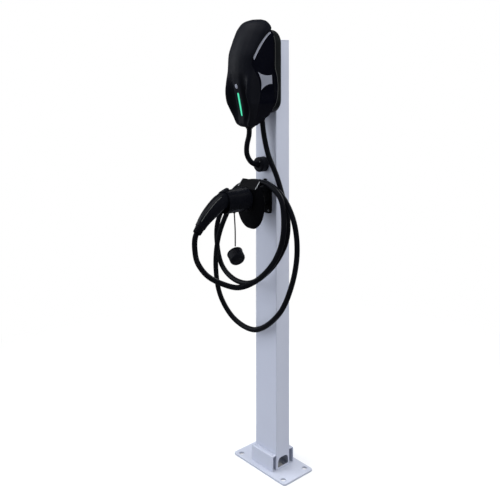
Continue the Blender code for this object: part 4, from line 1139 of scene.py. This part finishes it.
def gun_housing():
    smooth = smooth_path(GUN_SECTIONS, 7)
    rings = [gun_ring(*section) for section in smooth]
    housing = loft("gun_housing_skin", rings, "gun_black")
    cut(housing, button_block("pocket", 0.0005, [(-0.0085, 0), (0.014, 0)], "gun_black"))
    complete(housing, "gun", ["gun_housing"], edge=0.0006, angle=40)
    # Thin raised seam ridges along the handle, coloured light grey as a painted highlight.
    for label, corner in SEAM_CORNERS:
        line = [ring[corner] for ring in rings[SEAM_RINGS]]
        seam = sweep(f"handle_seam_highlight_{label}", line, SEAM_RADIUS, "painted_highlight_grey", sides=12)
        complete(seam, "gun", edge=0)


def release_button():
    low, high = -0.0057, 0.0053
    rows = [(low, 0), (high - 0.0035, 0), (high - 0.002, 0.0004), (high - 0.0008, 0.0013),
            (high - 0.0002, 0.0024), (high, 0.0036)]
    button = button_block("release_button_skin", 0, rows, "satin_black")
    complete(button, "button", ["release_button"], edge=0)


CONTACT_NODES = ["contact_earth", "contact_neutral", "contact_line_1", "contact_line_2", "contact_line_3",
                 "contact_pilot", "contact_proximity"]


def gun_nose():
    """Connector shroud, its contact carrier and seven hollow contacts."""
    length = NOSE_ROOT - NOSE_TIP
    bore = NOSE_RADIUS - 0.003
    base = Vector((0, -NOSE_TIP, SOCKET_Z))
    outward = (0, -1, 0)
    profile = [(0.042, bore), (0, bore), (0, NOSE_RADIUS - 0.001), (0.001, NOSE_RADIUS),
               (0.030, NOSE_RADIUS), (0.0305, NOSE_RADIUS - 0.0006), (0.032, NOSE_RADIUS - 0.0006),
               (0.0325, NOSE_RADIUS), (length, NOSE_RADIUS)]
    nose = turned("gun_nose_skin", base, outward, profile, "textured_black", sides=64)
    complete(nose, "gun", ["gun_nose"], edge=0.0004)
    carrier_low, carrier_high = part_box("contact_carrier")
    carrier = turned("contact_carrier_skin", (0, carrier_high.y, SOCKET_Z), outward,
                     [(0, bore - GAP), (carrier_high.y - carrier_low.y, bore - GAP)], "insulation", sides=64)
    for node in CONTACT_NODES:
        low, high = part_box(node)
        x, z, radius = (low.x + high.x) / 2, (low.z + high.z) / 2, (high.x - low.x) / 2
        start = (x, carrier_high.y + 0.002, z)
        drill(carrier, start, outward, radius + GAP, carrier_high.y - low.y + 0.0026)
        sleeve = [(0.012, radius * 0.55), (0, radius * 0.62), (0, radius), (high.y - low.y, radius)]
        contact = turned(f"{node}_skin", (x, high.y, z), outward, sleeve, "contact_metal", sides=32)
        complete(contact, "gun", [node], edge=0.0002)
    complete(carrier, "gun", ["contact_carrier"], edge=0.0002)


def strain_relief():
    """Ribbed sleeve at the tail of the gun, with the cable running out of its end."""
    depth, z, _, _, pitch = GUN_SECTIONS[-1]
    tip = math.radians(pitch)
    along = Vector((0, -math.cos(tip), -math.sin(tip)))
    base = Vector((0, -depth, z)) + along * 0.0022
    profile = [(0.0, 0.0146)]
    for i in range(4):
        start = 0.0012 + i * 0.0042
        outer = 0.0146 - i * 0.0003
        profile += [(start, outer), (start + 0.0022, outer), (start + 0.0028, outer - 0.0016),
                    (start + 0.0036, outer - 0.0016)]
    profile += [(0.0182, 0.0133), (0.0188, 0.0118)]
    relief = turned("strain_relief_skin", base, along, profile, "black_rubber", sides=56)
    drill(relief, base + along * 0.024, -along, CABLE_RADIUS + 0.0004, 0.012)
    complete(relief, "gun", ["strain_relief"], edge=0.0004)


def lanyard():
    top = Vector((0, -LANYARD_TOP[0], LANYARD_TOP[1]))
    end = Vector((0, -LANYARD_END[0], LANYARD_END[1]))
    low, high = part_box("lanyard_anchor")
    height = high.z - low.z
    anchor = turned("lanyard_anchor_skin", (0, (low.y + high.y) / 2, low.z), (0, 0, 1),
                    [(0, 0.0039), (height * 0.55, 0.0040), (height, 0.0040)], "satin_black", sides=32)
    drill(anchor, (0, (low.y + high.y) / 2, low.z - 0.001), (0, 0, 1), 0.0033, 0.0028, 32)
    complete(anchor, "gun", ["lanyard_anchor"], edge=0.0003)
    middle = (top + end) / 2 + Vector((0, 0.0015, 0))
    line = smooth_path([top, middle, end], 10)
    cord = sweep("lanyard_cord_skin", line, LANYARD_RADIUS, "black_rubber", sides=16)
    complete(cord, "lanyard", ["lanyard_cord"], edge=0)


def dust_cap():
    """Hollow round cap with a gripping rim, hanging from the lanyard."""
    facing = Vector(DUST_CAP_FACING).normalized()
    base = Vector((DUST_CAP_SIDE, -DUST_CAP_CENTRE[0], DUST_CAP_CENTRE[1])) - facing * DUST_CAP_DEPTH / 2
    radius, depth = DUST_CAP_RADIUS, DUST_CAP_DEPTH
    profile = [(depth - 0.004, radius - 0.0035), (0.0, radius - 0.0035), (0.0, radius - 0.0006),
               (0.0006, radius), (0.0035, radius), (0.0042, radius - 0.0012),
               (depth * 0.74, radius - 0.0012), (depth * 0.84, radius - 0.0022),
               (depth * 0.92, radius - 0.0045), (depth * 0.975, radius - 0.0075), (depth, radius - 0.0115)]

    def wave(distance, turn):
        return 0.0005 * math.cos(24 * turn) if 0.0045 < distance < depth * 0.76 else 0.0

    cap = turned("dust_cap_skin", base, facing, profile, "black_rubber", sides=144, wave=wave)
    complete(cap, "cap", ["dust_cap"], edge=0.0004)


# ---------------------------------------------------------------- parts kept from the CAD


def dress_cad_nodes():
    """Materials for the parts that keep their CAD shape."""
    kept = {row["node"]: row["material_slot"] for row in frame["record"]["subparts"]}
    for node, item in frame["nodes"].items():
        if item.hide_render:
            continue
        item.data.materials.clear()
        item.data.materials.append(looks[kept[node]])


# ---------------------------------------------------------------- studio


def area_light(name, place, target, size, power, colour=(1, 1, 1), mirrored=True):
    lamp = bpy.data.lights.new(name, "AREA")
    lamp.shape = "RECTANGLE"
    lamp.size, lamp.size_y = size
    lamp.energy = power
    lamp.color = colour
    made = bpy.data.objects.new(name, lamp)
    made.location = place
    made.rotation_euler = (Vector(target) - Vector(place)).to_track_quat("-Z", "Y").to_euler()
    made.visible_glossy = mirrored
    bpy.context.scene.collection.objects.link(made)


def by_ray(tree, seen, scattered, mirrored):
    """Mix three shaders: one the camera sees, one for scattered light, one for reflections."""
    rays = tree.nodes.new("ShaderNodeLightPath")
    result = scattered
    for share, shader in (("Is Glossy Ray", mirrored), ("Is Camera Ray", seen)):
        mix = tree.nodes.new("ShaderNodeMixShader")
        tree.links.new(rays.outputs[share], mix.inputs["Fac"])
        tree.links.new(result, mix.inputs[1])
        tree.links.new(shader, mix.inputs[2])
        result = mix.outputs["Shader"]
    return result


def studio():
    """White surroundings for the camera, dimmer ones for the light, and large soft boxes."""
    world = bpy.data.worlds.new("studio")
    bpy.context.scene.world = world
    world.use_nodes = True
    tree = world.node_tree
    tree.nodes.clear()
    shades = []
    for colour, strength in (((1, 1, 1, 1), 1.0), ((0.90, 0.94, 1.0, 1), 0.30), ((0.90, 0.94, 1.0, 1), 0.07)):
        shade = tree.nodes.new("ShaderNodeBackground")
        shade.inputs["Color"].default_value = colour
        shade.inputs["Strength"].default_value = strength
        shades.append(shade.outputs[0])
    output = tree.nodes.new("ShaderNodeOutputWorld")
    tree.links.new(by_ray(tree, *shades), output.inputs["Surface"])

    area_light("key", (-2.2, -2.6, 1.6), (0, -0.05, 0.8), (2.6, 3.0), 58, (0.93, 0.96, 1.0), mirrored=False)
    area_light("fill", (-0.6, -3.4, 1.2), (0, -0.05, 0.8), (2.6, 3.0), 10, (0.93, 0.96, 1.0), mirrored=False)
    area_light("sheen", (-2.9, -1.9, 1.9), (0, -0.1, 1.2), (2.2, 2.6), 26, (0.93, 0.96, 1.0))
    area_light("top", (0.2, -0.6, 3.8), (0, 0, 0.5), (3.0, 3.0), 100, mirrored=False)
    area_light("top_glow", (-1.0, -1.0, 3.7), (0, 0, 0.8), (2.0, 2.0), 18)
    area_light("right", (3.2, 0.6, 2.1), (0, 0, 1.1), (2.2, 2.6), 52, (1.0, 1.0, 0.98), mirrored=False)
    area_light("edge", (1.6, 2.4, 1.8), (0, 0, 0.9), (0.5, 2.6), 8)
    area_light("back", (-0.8, 3.0, 1.8), (0, 0, 0.8), (3.0, 2.6), 40)


def floor():
    reach = 30.0
    corners = [(-reach, -reach, 0), (reach, -reach, 0), (reach, reach, 0), (-reach, reach, 0)]
    looks["floor"] = bpy.data.materials.new("floor")
    ground = make("floor", corners, [(0, 1, 2, 3)], "floor")
    look = looks["floor"]
    look.use_nodes = True
    tree = look.node_tree
    tree.nodes.clear()
    grain = tree.nodes.new("ShaderNodeTexNoise")
    grain.inputs["Scale"].default_value = 3.0
    shade = tree.nodes.new("ShaderNodeMapRange")
    shade.inputs["To Min"].default_value = 0.90
    shade.inputs["To Max"].default_value = 0.94
    tree.links.new(grain.outputs["Fac"], shade.inputs["Value"])
    near = tree.nodes.new("ShaderNodeBsdfDiffuse")
    tree.links.new(shade.outputs["Result"], near.inputs["Color"])
    far = tree.nodes.new("ShaderNodeEmission")
    place = tree.nodes.new("ShaderNodeTexCoord")
    distance = tree.nodes.new("ShaderNodeVectorMath")
    distance.operation = "LENGTH"
    tree.links.new(place.outputs["Object"], distance.inputs[0])
    fade = tree.nodes.new("ShaderNodeMapRange")
    fade.interpolation_type = "SMOOTHSTEP"
    fade.inputs["From Min"].default_value = 0.1
    fade.inputs["From Max"].default_value = 1.6
    tree.links.new(distance.outputs["Value"], fade.inputs["Value"])
    seen = tree.nodes.new("ShaderNodeMixShader")
    tree.links.new(fade.outputs["Result"], seen.inputs["Fac"])
    tree.links.new(near.outputs[0], seen.inputs[1])
    tree.links.new(far.outputs[0], seen.inputs[2])
    shades = [seen.outputs[0]]
    for grey in (0.42, 0.08):
        shade = tree.nodes.new("ShaderNodeBsdfDiffuse")
        shade.inputs["Color"].default_value = (grey, grey, grey * 1.05, 1)
        shades.append(shade.outputs[0])
    output = tree.nodes.new("ShaderNodeOutputMaterial")
    tree.links.new(by_ray(tree, *shades), output.inputs["Surface"])


CAMERA_AT = (1.7041, -1.6142, 1.3438)
CAMERA_TURN, CAMERA_PITCH = 0.8443, -0.0108
CAMERA_LENS, CAMERA_SENSOR = 50.6, 36.0
CAMERA_SHIFT = -0.4013


def camera():
    """Camera at eye level, shifted down as an architectural lens is, so the post stays upright."""
    data = bpy.data.cameras.new("camera")
    data.lens, data.sensor_width = CAMERA_LENS, CAMERA_SENSOR
    made = bpy.data.objects.new("camera", data)
    ahead = Vector((-math.sin(CAMERA_TURN) * math.cos(CAMERA_PITCH),
                    math.cos(CAMERA_TURN) * math.cos(CAMERA_PITCH), -math.sin(CAMERA_PITCH)))
    made.location = CAMERA_AT
    made.rotation_euler = ahead.to_track_quat("-Z", "Y").to_euler()
    bpy.context.scene.collection.objects.link(made)
    bpy.context.scene.camera = made
    driver = data.driver_add("shift_y").driver
    place = driver.variables.new()
    place.name = "x"
    place.type = "TRANSFORMS"
    place.targets[0].id = made
    place.targets[0].transform_type = "LOC_X"
    driver.expression = f"{CAMERA_SHIFT} if abs(x - {CAMERA_AT[0]}) < 0.001 else 0.0"


def build():
    base_plate()
    post_tube()
    post_cap()
    foot_angle("front_foot_angle", -1)
    foot_angle("rear_foot_angle", 1)
    side_housing()
    front_cover()
    light_bar()
    badge()
    for label, side in (("left", -1), ("right", 1)):
        upper_trim(f"upper_trim_{label}", side)
        lower_trim(f"lower_trim_{label}", side)
    rear_housing()
    charger_glands()
    cables()
    cable_boss()
    holder_body()
    holder_shield()
    gun_housing()
    release_button()
    gun_nose()
    strain_relief()
    lanyard()
    dust_cap()
    dress_cad_nodes()
    studio()
    floor()
    camera()
    bpy.context.scene.view_settings.view_transform = "Standard"


build()
